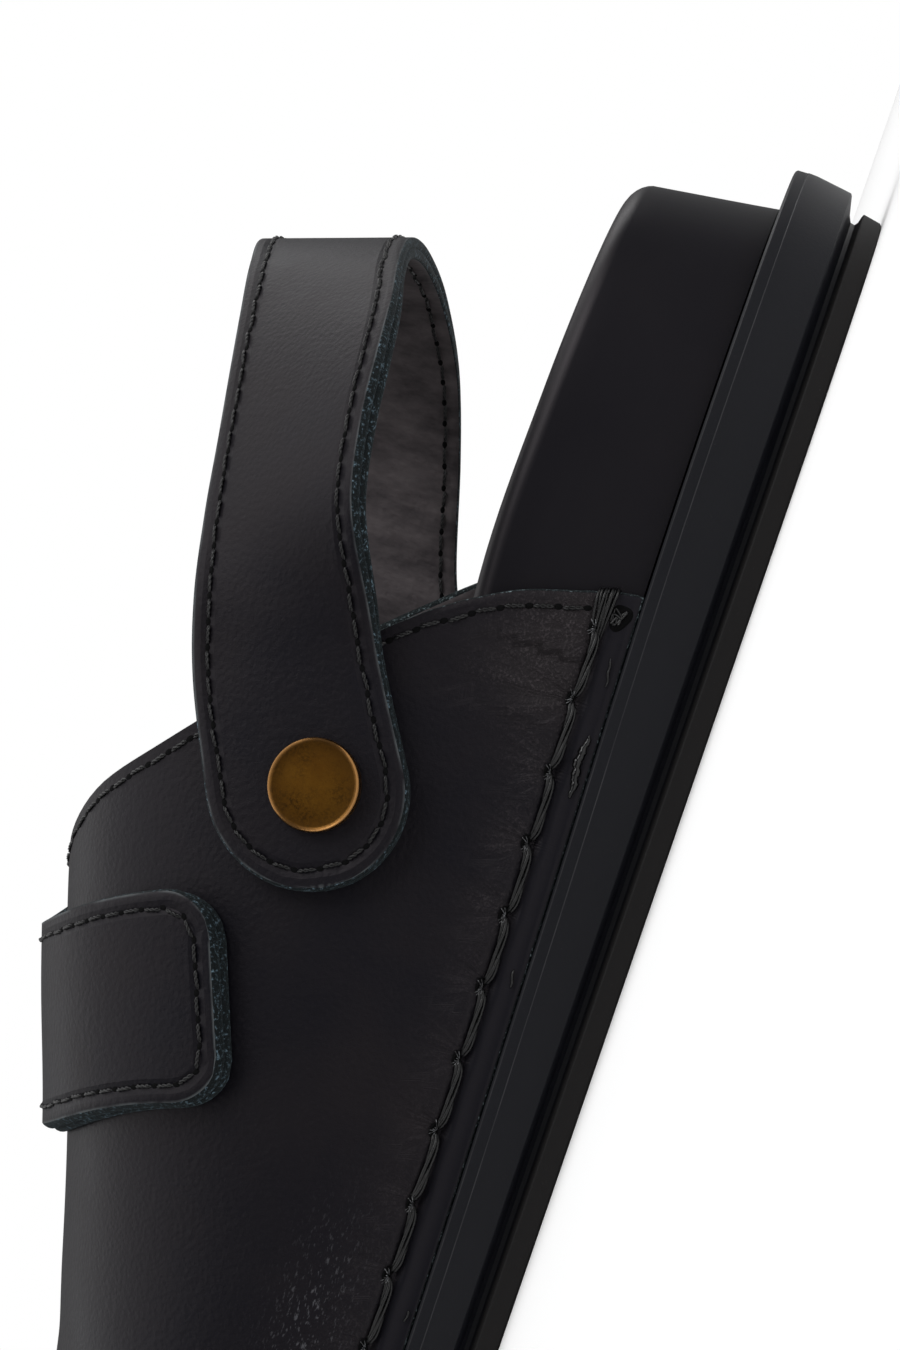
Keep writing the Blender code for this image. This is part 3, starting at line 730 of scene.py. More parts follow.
def grooveTree():  # a channel swept along each wave
    tree, sizes = newTree("grooveTree", {
        "Opening": 2.5 * mm, "Floor": 1.7 * mm, "Height": 3.4 * mm, "Middle": -0.7 * mm})
    waves = putNode(tree, "GeometryNodeMeshToCurve", {}, {"Mesh": sizes["Path"]})
    level = putNode(tree, "GeometryNodeSetCurveNormal", {"mode": "Z_UP"}, {"Curve": waves.outputs[0]})
    section = putNode(tree, "GeometryNodeCurvePrimitiveQuadrilateral", {"mode": "TRAPEZOID"}, {
        "Height": sizes["Height"], "Bottom Width": sizes["Floor"], "Top Width": sizes["Opening"],
        "Offset": 0.0})
    shift = putNode(tree, "ShaderNodeCombineXYZ", {}, {"Y": sizes["Middle"]})
    placed = putNode(tree, "GeometryNodeTransform", {}, {
        "Geometry": section.outputs[0], "Translation": shift.outputs[0]})
    swept = putNode(tree, "GeometryNodeCurveToMesh", {}, {
        "Curve": level.outputs[0], "Profile Curve": placed.outputs[0], "Fill Caps": True})
    return closeTree(tree, swept.outputs[0], soleRubber)


def makeGrooves(tree, family):
    reach = pick(lastForm["outline"], 1).max() + 2 * soleUnit["waveStep"][1]
    points, edges = [], []
    for row in range(-soleUnit["waveRows"], soleUnit["waveRows"] + 1):
        line = waveLine(family, row)
        line = line[np.abs(line[:, 1]) < reach]
        if len(line) > 2 * soleUnit["waveSegments"]:
            edges += [(len(points) + k, len(points) + k + 1) for k in range(len(line) - 1)]
            points += [(x, y, springOf(x)) for x, y in line]
    opening, floor, depth = soleUnit["groove"].values()
    over = soleUnit["overrun"]
    wide = opening + (opening - floor) / depth * over
    sizes = {"Opening": wide, "Floor": floor, "Height": depth + over, "Middle": (over - depth) / 2}
    return bake("grooves", tree, points, edges, {label: value * mm for label, value in sizes.items()})


def cutWith(piece, cutter, operation):
    modifier = piece.modifiers.new("cut", "BOOLEAN")
    modifier.operation, modifier.solver, modifier.object = operation, "EXACT", cutter
    result = plainMesh(piece)
    piece.modifiers.clear()
    piece.data = result
    bpy.data.objects.remove(cutter, do_unlink=True)


def clearSlivers(mesh, reach):  # what the cuts leave behind
    body = bmesh.new()
    body.from_mesh(mesh)
    bmesh.ops.dissolve_degenerate(body, edges=body.edges, dist=reach)
    bmesh.ops.remove_doubles(body, verts=body.verts, dist=reach)
    bmesh.ops.triangulate(body, faces=[face for face in body.faces if len(face.verts) > 4])
    body.to_mesh(mesh)
    body.free()


def makeSole():
    rings = [
        ringOf(lambda t: out + share * soleUnit["wallBack"] * backOf(t),
               lambda x: z + fromLedge * ledgeOf(x), soleUnit["rungs"])
        for fromLedge, z, out, share, _ in soleUnit["side"]
    ]
    lines = np.repeat(pick(soleUnit["side"], 4), len(rings[0]))
    sole = newPiece("soleUnit", *stackRings(rings), [soleRubber], values={"line": lines}, merge=False)
    tree = grooveTree()
    top = soleUnit["groove"]["depth"] + lastForm["springRise"] + soleUnit["overrun"]
    for family in (1, -1):
        cutter = makeGrooves(tree, family)
        inside = ringOf(lambda t: 0 * t - soleUnit["grooveMargin"], lambda x: 0 * x, soleUnit["marginRungs"])
        caps = [
            np.column_stack((inside[:, :2], np.full(len(inside), z)))
            for z in (-2 * soleUnit["overrun"], top)
        ]
        cutWith(cutter, newPiece("inside", *stackRings(caps), [soleRubber], merge=False), "INTERSECT")
        cutWith(sole, cutter, "DIFFERENCE")
    clearSlivers(sole.data, soleUnit["sliver"])
    smoothTo(sole.data, soleUnit["sharp"])
    settle(sole, "outsole")


makeSole()


# Footbed block with a polished wall and a cupped top

footbedBlock = {
    "rungs": 120,
    "inset": 1.0,
    "setBack": 4.0,
    "levels": [  # x, rim, floor, lean
        (0, 34.4, 27.5, 0.6), (40, 35.8, 27.2, 0.6), (62, 36.0, 27.0, 0.6), (100, 31.5, 26.5, 1.2),
        (150, 24.5, 22.5, 2.4), (200, 20.5, 19.0, 2.8), (293, 19.5, 18.5, 3.2),
    ],
    "wallRows": 6,
    "wallLean": 0.75,
    "wallBack": (0.3, 0.85),  # share of the set-back at the wall's foot and head
    "rimRound": 2.6,
    "rimAngles": (15, 30, 45, 60, 75, 90),
    "cup": [(4.0, 0.04), (5.5, 0.12), (8.0, 0.32), (11.0, 0.55), (15.0, 0.76), (19.0, 0.9)],  # inset, drop
}


def makeFootbed():
    rim, floor, lean = (lambda x, k=k: column(footbedBlock["levels"], k, x) for k in (1, 2, 3))
    wallLean, edge = footbedBlock["wallLean"], footbedBlock["rimRound"]
    foot, head = footbedBlock["wallBack"]
    rings, tops = [], []

    def addRing(inset, height, back, top):
        setBack = back * footbedBlock["setBack"]
        rings.append(ringOf(
            lambda t: -footbedBlock["inset"] - inset(lengthAt(t)) - setBack * backOf(t),
            height, footbedBlock["rungs"]))
        tops.extend([top] * len(rings[-1]))

    for share in np.linspace(0, 1, footbedBlock["wallRows"]):
        addRing(lambda x: wallLean * share * lean(x),
                lambda x: seatOf(x) + share * (rim(x) - edge - seatOf(x)), foot + (head - foot) * share, 0.0)
    for angle in footbedBlock["rimAngles"]:
        rise, inwards = math.sin(math.radians(angle)), 1 - math.cos(math.radians(angle))
        addRing(lambda x: (wallLean + (1 - wallLean) * rise) * lean(x) + edge * inwards,
                lambda x: rim(x) - edge * (1 - rise), head + (1 - head) * rise, angle / 180)
    for inset, drop in footbedBlock["cup"]:
        addRing(lambda x: lean(x) + inset, lambda x: rim(x) - drop * (rim(x) - floor(x)), 1.0, 1.0)
    footbed = newPiece("footbedBlock", *stackRings(rings), [footbedSkin], values={"top": tops}, merge=False)
    settle(footbed, "footbed")


makeFootbed()


# Upper: arches from the left lip over the crest to the right lip, cut at the collar

upperShell = {
    "inside": -0.7,
    "outside": 1.3,
    "toeClosing": 12.0,
    "crestShare": 0.53,
    "crest": [  # x, top, fullness
        (40, 91.0, 3.2), (80, 89.2, 3.1), (100, 86.8, 3.0), (118, 83.2, 2.9), (140, 76.8, 2.75),
        (160, 70.0, 2.6), (180, 64.3, 2.5), (200, 59.3, 2.45), (220, 55.0, 2.4), (240, 50.3, 2.35),
        (260, 43.8, 2.3), (275, 35.8, 2.25), (284, 27.6, 2.2),
    ],
    "collar": [  # x, z
        (62.4, 18.5), (66.0, 30.0), (71.0, 38.5), (77.3, 46.0), (88.0, 57.5), (101.0, 69.0), (109.0, 75.5),
    ],
    "corner": 61.6,
    "throat": 127.0,
    "cutEdge": [(0.05, 0.1), (0.15, 0.2), (0.35, 0.28), (0.5, 0.25), (0.65, 0.28), (0.85, 0.2), (0.95, 0.1)],
    "stations": 270,
    "closeRows": (0.4, 12.0, 60.0, 1.38),  # step and reach near the lip, usual crest and its bend
    "highSteps": 34,
    "seamHeight": 4.4,
    "seamPitch": 9.7,
    "seamStart": 5.6,  # ahead of the corner
    "sewn": (3.0, 4.0),  # the seam's pull starts ahead of the corner and grows over this length
    "pull": (1.0, 0.8, 0.55),  # depth and reach of the trough at the seam, its share between holes
    "roll": (0.72, 1.7, 0.5),  # height and place of the leather's roll above it, its loss at holes
    "pucker": (0.2, 2.6, 2.1),  # height, place and reach
    "puckerFolds": (2.5, 1.3, 7.0),  # folds to a stitch, their drift and its length
    "hollow": (0.3, -3.0, 1.8),
    "swells": [  # soft swells and troughs: spot, reach, height
        ((150, 44, 30), (9, 4, 4), 0.35), ((176, 48, 28), (7, 9, 9), -0.35),
        ((96, 42, 27), (8, 3.5, 3.5), 0.3), ((206, -34, 40), (9, 6, 6), -0.3),
        ((188, 12, 56), (5, 18, 18), -0.4), ((198, 4, 54), (5, 20, 20), 0.35),
        ((209, 8, 50), (5, 17, 17), -0.3), ((72, 40, 24), (4, 4, 4), -0.3),
    ],
    # wear and painted sheen above the seam: height, place, reach
    "seamWearAndSheen": (0.6, 2.2, 4.6),
    "wearAndSheenFade": (150, 50, 0.65),  # fades out by this x over this length, down to this share
    "strip": (0.2, 0.7),  # the smooth band starts this far under the seam and grows over this height
    "cornerWearAndSheen": [((73, 40, 25), (9, 6, 7)), ((73, -40, 25), (9, 6, 7))],
    "scuff": ((163, 54, 24.5), (12, 8, 4.5)),
}

crestKnots = np.append(turnAt(pick(upperShell["crest"], 0)), math.pi)
crestRise = pick(upperShell["crest"], 1) - seatOf(pick(upperShell["crest"], 0))


def crestOf(t):
    return through(crestKnots, np.append(crestRise, 0), t)


def fullnessOf(t):
    rows = pick(upperShell["crest"], 2)
    return through(crestKnots, np.append(rows, rows[-1]), t)


def archOf(angle, t, out):
    angle, t = np.broadcast_arrays(np.asarray(angle, float), np.asarray(t, float))
    isLeft = angle <= 90
    turn = np.radians(np.where(isLeft, angle, 180 - angle))
    left, right = (np.stack(edgeOf(side, t, out), -1) for side in ("left", "right"))
    crest = left + (right - left) * upperShell["crestShare"]
    power = 2 / fullnessOf(t)
    wide = np.maximum(np.cos(turn), 0) ** power
    high = np.maximum(np.sin(turn), 0) ** power
    spot = crest + (np.where(isLeft[..., None], left, right) - crest) * wide[..., None]
    tall = crestOf(t)
    whole = np.minimum(1, tall / upperShell["toeClosing"])
    tall = np.maximum(tall + (out - upperShell["outside"]) * whole, 0)
    z = seatOf(spot[..., 0]) + tall * high + springOf(spot[..., 0])
    return np.concatenate((spot, z[..., None]), -1)


def angleOf(share, t):  # round the arch, from a share of its rise
    return np.degrees(np.arcsin(np.clip(share, 0, 1) ** (fullnessOf(t) / 2)))


def collarX(angle):
    x, z = pick(upperShell["collar"], 0), pick(upperShell["collar"], 1)
    t = turnAt(x)
    knots = angleOf((z - seatOf(x)) / crestOf(t), t)
    corner = [upperShell["corner"]]
    return through(np.concatenate(([0], knots, [90], 180 - knots[::-1], [180])),
                   np.concatenate((corner, x, [upperShell["throat"]], x[::-1], corner)), angle)


def seamLine():  # round the shoe above the lip, from the left rear corner over the toe
    t = np.linspace(0, math.pi, 4000)
    share = upperShell["seamHeight"] / np.maximum(crestOf(t), 1e-6)
    ahead = (share < 1) & (lengthAt(t) > upperShell["corner"] + upperShell["seamStart"])
    t, share = t[ahead], share[ahead]
    angle = angleOf(share, t)
    left, right = (archOf(a, t, upperShell["outside"]) for a in (angle, 180 - angle))
    line = np.concatenate((left, right[::-1]))
    return t, line, runOf(line)


def hillAt(value, middle, reach):
    return np.exp(-(((value - middle) / reach) ** 2))


def patchAt(points, spot, reach):
    return np.exp(-(((points - np.array(spot)) / np.array(reach)) ** 2).sum(-1))


def leatherMove(outer, above, s, atHole):  # how far the seam and the swells move the leather
    depth, reach, between = upperShell["pull"]
    move = -depth * hillAt(above, 0, reach) * (between + (1 - between) * atHole**2)
    height, place, loss = upperShell["roll"]
    climb = np.clip(above, 0, None) / place
    move += height * climb * np.exp(1 - climb) * (1 - loss * atHole**2)
    height, place, reach = upperShell["pucker"]
    folds, drift, driftLength = upperShell["puckerFolds"]
    wave = np.cos(folds * 2 * math.pi * s / upperShell["seamPitch"] + drift * np.sin(s / driftLength))
    move += height * hillAt(above, place, reach) * atHole * wave
    height, place, reach = upperShell["hollow"]
    move -= height * hillAt(above, place, reach)
    for spot, reach, height in upperShell["swells"]:
        move = move + height * patchAt(outer, spot, reach)
    return move


def makeUpper():
    step, reach, usualRise, bend = upperShell["closeRows"]
    low = np.degrees(np.arcsin((np.arange(0, reach, step) / usualRise) ** bend))
    quarter = np.concatenate((low, np.linspace(low[-1], 90, upperShell["highSteps"] + 1)[1:]))
    angles = np.concatenate((quarter, 180 - quarter[-2::-1]))
    start = turnAt(collarX(angles))
    t = start + (math.pi - start) * np.linspace(0, 1, upperShell["stations"] + 1)[:, None]
    outer, inner = (archOf(angles[None, :], t, upperShell[face]) for face in ("outside", "inside"))
    normals = -normalsOf(outer)

    # where each point lies along the seam, by its nearest hole and above the seam
    seamT, _, run = seamLine()
    n = len(seamT)
    s = np.where(angles[None, :] <= 90, np.interp(t, seamT, run[:n]), np.interp(t, seamT, run[n:][::-1]))
    pitch = upperShell["seamPitch"]
    atHole = 0.5 + 0.5 * np.cos(2 * math.pi * s / pitch)
    hole = np.floor(s / pitch + 0.5)
    above = outer[..., 2] - ledgeOf(outer[..., 0]) - springOf(outer[..., 0]) - upperShell["seamHeight"]

    length = lengthAt(t)
    ahead, growth = upperShell["sewn"]
    sewn = (t > seamT[0] - 0.02) * np.clip((length - upperShell["corner"] - ahead) / growth, 0, 1)
    closing = np.clip(1.5 * (math.pi - t) / (math.pi - seamT[-1]), 0, 1)  # calm at the tip of the toe
    outer = outer + normals * (leatherMove(outer, above, s, atHole) * sewn * closing)[..., None]

    # wear by the seam and the rear corners, strongest at the holes; its haze is partly painted sheen on the
    # puckers
    height, place, reach = upperShell["seamWearAndSheen"]
    fadeEnd, fadeLength, least = upperShell["wearAndSheenFade"]
    wornAndSheen = height * hillAt(above, place, reach) * (0.45 + 0.55 * atHole)
    wornAndSheen = wornAndSheen * np.clip((fadeEnd - length) / fadeLength, least, 1)
    wornAndSheen = wornAndSheen + sum(patchAt(outer, *corner) for corner in upperShell["cornerWearAndSheen"])
    under, stripGrowth = upperShell["strip"]
    layers = {
        "wornAndSheen": np.clip(wornAndSheen, 0, 1),
        "fan": 3 * hole + np.arctan2(s - hole * pitch, np.clip(above, 0, None) + 1.0),
        "scuff": patchAt(outer, *upperShell["scuff"]),
        "strip": np.clip((-under - above) / stripGrowth, 0, 1),
    }
    rows, cols = outer.shape[:2]
    loop = [(0, c) for c in range(cols)] + [(r, cols - 1) for r in range(1, rows)]
    loop += [(r, 0) for r in range(rows - 2, 0, -1)]  # the last row is the closed toe
    finishes = [upperLeather, upperLining, collarEdge]
    upper = slab("upperShell", outer, inner, normals, loop, upperShell["cutEdge"], finishes, layers)
    settle(upper, "upper")
    return upper, outer, normals


upper, upperOuter, upperNormals = makeUpper()


# Straps: two layers of leather with raw cut edges

twoLayerEdge = [  # share through the leather, how far out
    (0.04, 0.16), (0.12, 0.3), (0.25, 0.4), (0.38, 0.36), (0.46, 0.22), (0.5, 0.12),
    (0.54, 0.22), (0.62, 0.36), (0.75, 0.4), (0.88, 0.3), (0.96, 0.16),
]

instepStrap = {
    "thick": 3.4,
    "width": 27.0,
    "length": 112.0,
    "corner": 6.0,
    "topX": 150.0,
    "endX": 129.0,
    "endAngle": 24.0,
    "endSkew": 2.5,
    "lengths": 150,
    "closerEnds": 0.35,
    "widths": 26,
}


def makeStrap(name, node, outer, inner, normals):
    loop = sheetLoop(*outer.shape[:2])
    border = borderOf(outer, normals, loop)
    groups = np.array_split(outer.reshape(-1, 3), 40)
    fromRim = [np.sqrt(((some[:, None] - border[0][None]) ** 2).sum(2)).min(1) for some in groups]
    finishes = [strapLeather, strapLining, strapEdge]
    strap = slab(name, outer, inner, normals, loop, twoLayerEdge, finishes, {"rim": np.concatenate(fromRim)})
    settle(strap, node)
    return strap, border


def makeInstepStrap():
    half, corner = instepStrap["width"] / 2, instepStrap["corner"]
    even = np.linspace(0, 1, instepStrap["lengths"] + 1)
    close = instepStrap["closerEnds"]
    shares = (close * (1 - np.cos(math.pi * even)) / 2 + (1 - close) * even)[:, None]
    short = np.maximum(corner - np.minimum(shares, 1 - shares) * instepStrap["length"], 0)
    inset = corner - np.sqrt(corner**2 - short**2)
    across = np.linspace(-1, 1, instepStrap["widths"] + 1)[None, :]
    skew = instepStrap["endSkew"] * across * (1 - inset / half) * (1 - 2 * shares)
    angle = instepStrap["endAngle"] + (180 - 2 * instepStrap["endAngle"]) * shares - skew
    over = np.sin(np.radians(angle)) ** 2
    under = math.sin(math.radians(instepStrap["endAngle"])) ** 2
    endX, topX = instepStrap["endX"], instepStrap["topX"]
    middle = endX + (topX - endX) * (over - under) / (1 - under)
    t = turnAt(middle + across * (half - inset))
    lay = upperShell["outside"] + lastForm["gap"]
    outer, inner = archOf(angle, t, lay + instepStrap["thick"]), archOf(angle, t, lay)
    normals = normalsOf(outer)
    if np.sum(normals * (outer - inner)) < 0:
        normals = -normals
    return makeStrap("instepStrap", "instep_strap", outer, inner, normals)


instepPiece, instepBorder = makeInstepStrap()

heelStrap = {
    "thick": 3.2,
    "lay": 0.45,
    "overCollar": 7.0,
    "rows": [  # edges of the inner face: low x, y, z, top x, y, z
        (93.0, 40.0, 35.8, 105.0, 36.0, 58.8), (80.8, 40.0, 43.4, 91.0, 36.0, 66.0),
        (72.6, 41.5, 47.2, 81.0, 36.0, 69.6), (61.8, 43.0, 52.0, 71.0, 32.0, 71.8),
        (51.8, 39.5, 54.5, 61.0, 27.0, 74.0), (43.8, 34.0, 56.0, 52.0, 20.5, 76.6),
        (36.8, 25.0, 58.0, 44.5, 12.5, 79.4), (31.5, 12.0, 61.0, 38.5, 3.0, 82.4),
        (28.5, -4.0, 63.0, 35.5, -8.5, 84.8), (29.0, -19.0, 62.5, 35.8, -21.5, 84.4),
        (34.0, -31.0, 59.5, 40.0, -31.0, 81.2), (43.5, -39.0, 55.0, 49.0, -36.0, 77.0),
        (56.0, -43.0, 51.0, 62.0, -39.5, 73.0), (72.8, -42.0, 46.0, 79.0, -39.0, 69.0),
        (80.8, -40.0, 42.2, 90.8, -37.0, 64.8), (93.0, -40.0, 35.8, 105.0, -36.0, 58.8),
    ],
    "steps": 10,
    "endSteps": 22,
    "widths": 22,
    "tipStart": 0.12,  # share of a step
    "heldSteps": 6,  # kept as they lie next to the round ends
    "easing": (60, 12),  # rounds that ease the bend and the normals
}


def sideReach(side, x, z):  # how far out the upper's face is at this length and height
    t = turnAt(x)
    left, right = (edgeOf(name, t, upperShell["outside"])[1] for name in ("left", "right"))
    crest = left + (right - left) * upperShell["crestShare"]
    share = np.clip((z - seatOf(x)) / crestOf(t), 0, 0.98)
    power = fullnessOf(t)
    return crest + (np.where(side > 0, left, right) - crest) * (1 - share**power) ** (1 / power)


def makeHeelStrap():
    rows = np.array(heelStrap["rows"], float)
    knots = np.arange(len(rows), dtype=float)
    at = np.linspace(0, knots[-1], heelStrap["steps"] * (len(rows) - 1) + 1)
    edges = np.stack([through(knots, rows[:, k], at) for k in range(6)], 1)
    low, top = edges[:, :3], edges[:, 3:]
    endSteps = heelStrap["endSteps"]
    ends = []  # round, about the snaps
    for first, inward in ((0, heelStrap["steps"]), (-1, -1 - heelStrap["steps"])):
        snap = (low[first] + top[first]) / 2
        along = unit(snap - (low[inward] + top[inward]) / 2)
        half = (top[first] - low[first]) / 2
        turn = math.pi / 2 * (np.arange(endSteps) + heelStrap["tipStart"]) / endSteps
        tip = snap + np.linalg.norm(half) * np.outer(np.cos(turn), along)
        ends.append((tip - np.outer(np.sin(turn), half), tip + np.outer(np.sin(turn), half)))
    low = np.concatenate((ends[0][0], low, ends[1][0][::-1]))
    top = np.concatenate((ends[0][1], top, ends[1][1][::-1]))
    across = np.linspace(0, 1, heelStrap["widths"] + 1)[None, :, None]
    inner = low[:, None] + (top - low)[:, None] * across
    side = np.where(inner[..., 1] > 0, 1, -1)
    reach = side * sideReach(side, inner[..., 0], inner[..., 2]) + heelStrap["lay"]
    beyond = inner[..., 2] - column(upperShell["collar"], 1, inner[..., 0])
    backed = np.clip(2 - beyond / heelStrap["overCollar"], 0, 1)
    push = np.maximum(reach - side * inner[..., 1], 0) * backed**2 * (3 - 2 * backed)
    push = np.where(inner[..., 0] > upperShell["corner"], push, 0)
    bendRounds, normalRounds = heelStrap["easing"]
    held = endSteps + heelStrap["heldSteps"]
    for _ in range(bendRounds):  # leather has no tight kinks
        eased = 0.25 * np.roll(push, 1, 0) + 0.5 * push + 0.25 * np.roll(push, -1, 0)
        push[held:-held] = eased[held:-held]
    inner[..., 1] += side * push
    normals = normalsOf(inner)
    for _ in range(normalRounds):
        normals[1:-1] = 0.25 * normals[:-2] + 0.5 * normals[1:-1] + 0.25 * normals[2:]
    normals = unit(normals)
    outer = inner + heelStrap["thick"] * normals
    return outer, normals, *makeStrap("heelStrap", "heel_strap", outer, inner, normals)


heelOuter, heelNormals, heelPiece, heelBorder = makeHeelStrap()


# Snap caps of antique brass

snapCap = {
    "seat": 0.3,
    "lower": 1.6,
    "sides": 72,
    "profile": [  # out, height, how rubbed, how dull
        (5.6, 0.0, 0.0, 1.0), (6.05, 0.0, 0.0, 1.0), (6.22, 0.2, 0.1, 0.8), (6.25, 0.6, 0.3, 0.5),
        (6.24, 1.1, 0.6, 0.2), (6.19, 1.38, 0.9, 0.0), (6.1, 1.56, 1.0, 0.0), (5.99, 1.63, 1.0, 0.0),
        (5.89, 1.58, 0.7, 0.3), (5.78, 1.48, 0.2, 1.0), (5.5, 1.43, 0.0, 1.0), (4.2, 1.46, 0.0, 0.55),
        (2.6, 1.5, 0.0, 0.15), (1.2, 1.52, 0.0, 0.0), (0.02, 1.53, 0.0, 0.0),
    ],
}


def makeSnap(name, node, row):
    middle = heelStrap["widths"] // 2
    down = unit(heelOuter[row, middle - 1] - heelOuter[row, middle])
    seat = heelOuter[row, middle] + snapCap["lower"] * down
    turn = np.array(Vector(heelNormals[row, middle]).to_track_quat("Z", "Y").to_matrix())
    sides, profile = snapCap["sides"], snapCap["profile"]
    spin = onceRound(sides)
    circle = np.column_stack((np.cos(spin), np.sin(spin)))
    rings = [
        seat + np.column_stack((out * circle, np.full(sides, height + snapCap["seat"]))) @ turn.T
        for out, height, _, _ in profile
    ]
    layers = {label: np.repeat(pick(profile, k), sides) for label, k in (("rubbed", 2), ("dull", 3))}
    cap = newPiece(name, *stackRings(rings), [antiqueBrass], values=layers, merge=False)
    settle(cap, node)


makeSnap("snapOuter", "snap_outer", heelStrap["endSteps"])
makeSnap("snapInner", "snap_inner", -heelStrap["endSteps"] - 1)


# Stitches along paths

def shapeObject(name, points, faces):  # a small shape at the origin, for copies only
    mesh = bpy.data.meshes.new(name)
    mesh.from_pydata((np.asarray(points, float) * mm).tolist(), [], faces)
    faceOutwards(mesh)
    mesh.shade_smooth()
    return addObject(name, mesh)


def stitchShape(length, plan):  # twisted plies that dip into a hole at each end
    u = np.linspace(0, 1, plan["segments"] + 1)
    hump = 1 - (2 * u - 1) ** 6
    ahead = length * (plan["gap"] + (1 - 2 * plan["gap"]) * u)
    strands = []
    for k in range(plan["plies"]):
        phase = 2 * math.pi * (plan["turns"] * u + k / plan["plies"])
        across = plan["spread"] * np.cos(phase) * (0.4 + 0.6 * hump)
        up = (plan["arch"] + plan["dip"]) * hump - plan["dip"] + 0.6 * plan["spread"] * np.sin(phase)
        strands.append(tubeOf(np.column_stack((ahead, across, up)), plan["radius"], plan["sides"]))
    return shapeObject("threadShape", *gather(strands))


holePlug = {"sides": 10, "rings": [(0.6, 0.06), (1.0, -0.1)], "top": 0.07, "bottom": -0.4}  # share, height


# a flat dark plug, painted shade in place of a hole
def holeShape(length, width, side=0.0):
    turn = onceRound(holePlug["sides"])
    x, y = length / 2 * np.cos(turn), width / 2 * np.sin(turn)
    rings = [np.column_stack((grow * x, side + grow * y, z + 0 * turn)) for grow, z in holePlug["rings"]]
    return shapeObject("holeShape", *lensOf(rings, (0, side, holePlug["top"]), (0, side, holePlug["bottom"])))


def tuftShape(reach, count, side):  # stiff fibres standing round a hole
    u = np.linspace(0, 1, 4)
    strands = []
    for k in range(count):
        spin = -math.pi * (0.12 + 0.76 * k / (count - 1)) + 0.2 * math.sin(5.1 * k)
        lean = reach * (0.62 + 0.38 * math.sin(2.4 * k))
        x, y, z = lean * math.cos(spin) * u, lean * math.sin(spin) * u, 0.24 + 0.5 * u * (1.4 - u)
        strands.append(tubeOf(np.column_stack((x, side + y, z)), 0.06, 3))
    return shapeObject("tuftShape", *gather(strands))


def followTree(name, shape, finish):  # copies of a shape, each on the chord to the next point
    tree, sizes = newTree(name, {"Pitch": 3.0 * mm, "Wobble": 0.05, "Seed": 1})
    line = putNode(tree, "GeometryNodeMeshToCurve", {}, {"Mesh": sizes["Path"]})
    even = putNode(tree, "GeometryNodeResampleCurve", {"mode": "LENGTH"}, {
        "Curve": line.outputs[0], "Length": sizes["Pitch"]})
    place = putNode(tree, "GeometryNodeInputPosition")
    following = putNode(tree, "GeometryNodeOffsetPointInCurve", {}, {"Offset": 1})
    beyond = putNode(tree, "GeometryNodeFieldAtIndex", {"data_type": "FLOAT_VECTOR"}, {
        "Index": following.outputs["Point Index"], "Value": place.outputs[0]})
    chord = putNode(tree, "ShaderNodeVectorMath", {"operation": "SUBTRACT"}, {
        0: beyond.outputs[0], 1: place.outputs[0]})
    up = putNode(tree, "GeometryNodeInputNamedAttribute", {"data_type": "FLOAT_VECTOR"}, {"Name": "up"})
    along = putNode(tree, "FunctionNodeAlignRotationToVector", {"axis": "X"}, {"Vector": chord.outputs[0]})
    lying = putNode(tree, "FunctionNodeAlignRotationToVector", {"axis": "Z", "pivot_axis": "X"}, {
        "Rotation": along.outputs[0], "Vector": up.outputs[0]})
    model = putNode(tree, "GeometryNodeObjectInfo", {}, {"Object": shape})
    copies = putNode(tree, "GeometryNodeInstanceOnPoints", {}, {
        "Points": even.outputs[0], "Selection": following.outputs["Is Valid Offset"],
        "Instance": model.outputs["Geometry"], "Rotation": lying.outputs[0]})
    less = putNode(tree, "ShaderNodeMath", {"operation": "MULTIPLY"}, {0: sizes["Wobble"], 1: -1.0})
    chance = putNode(tree, "FunctionNodeRandomValue", {"data_type": "FLOAT"}, {
        2: less.outputs[0], 3: sizes["Wobble"], "Seed": sizes["Seed"]})
    lean = putNode(tree, "ShaderNodeCombineXYZ", {}, {"Z": chance.outputs[1]})
    leaning = putNode(tree, "GeometryNodeRotateInstances", {}, {
        "Instances": copies.outputs[0], "Rotation": lean.outputs[0]})
    return closeTree(tree, leaning.outputs[0], finish)


def runAlong(name, shape, finish, path, ups, closed, sizes):
    count = len(path)
    edges = [(k, k + 1) for k in range(count - 1)] + ([(count - 1, 0)] if closed else [])
    piece = bake(name, followTree(name + "Tree", shape, finish), path, edges, sizes, ups)
    bpy.data.objects.remove(shape, do_unlink=True)
    settle(piece)


def setDown(piece, points, ups, lift=0.0):  # nearest spot of a piece, with its own normal
    mesh = piece.data
    faces = BVHTree.FromPolygons([v.co for v in mesh.vertices], [p.vertices[:] for p in mesh.polygons])
    spots, normals = [], []
    for point, up in zip(toRow(points), ups):
        place, normal, _, _ = faces.find_nearest(Vector(point))
        normal = normal if normal.dot(Vector(up)) > 0 else -normal
        spots.append(np.array(place + normal * lift * mm) / mm + np.array(lastForm["middle"]))
        normals.append(tuple(normal))
    return np.array(spots), np.array(normals)


def evenly(points, step, closed):  # respace a path
    if closed:
        points = np.concatenate((points, points[:1]))
    run = runOf(points)
    at = np.linspace(0, run[-1], max(int(run[-1] / step), 4) + 1)
    if closed:
        at = at[:-1]
    return np.stack([np.interp(at, run, points[:, k]) for k in range(3)], 1)


def nearestUps(path, spots, ups):
    return ups[[int(np.argmin(((spots - p) ** 2).sum(1))) for p in path]]


def insetPath(spots, ups, inset):  # a path inside a closed rim
    rim = evenly(spots, 0.5, True)
    rimUps = nearestUps(rim, spots, ups)
    way = inset * unit(np.cross(np.roll(rim, -4, 0) - np.roll(rim, 4, 0), rimUps))
    return min((rim + way, rim - way), key=lambda line: runOf(line)[-1]), rimUps  # the shorter lies inside


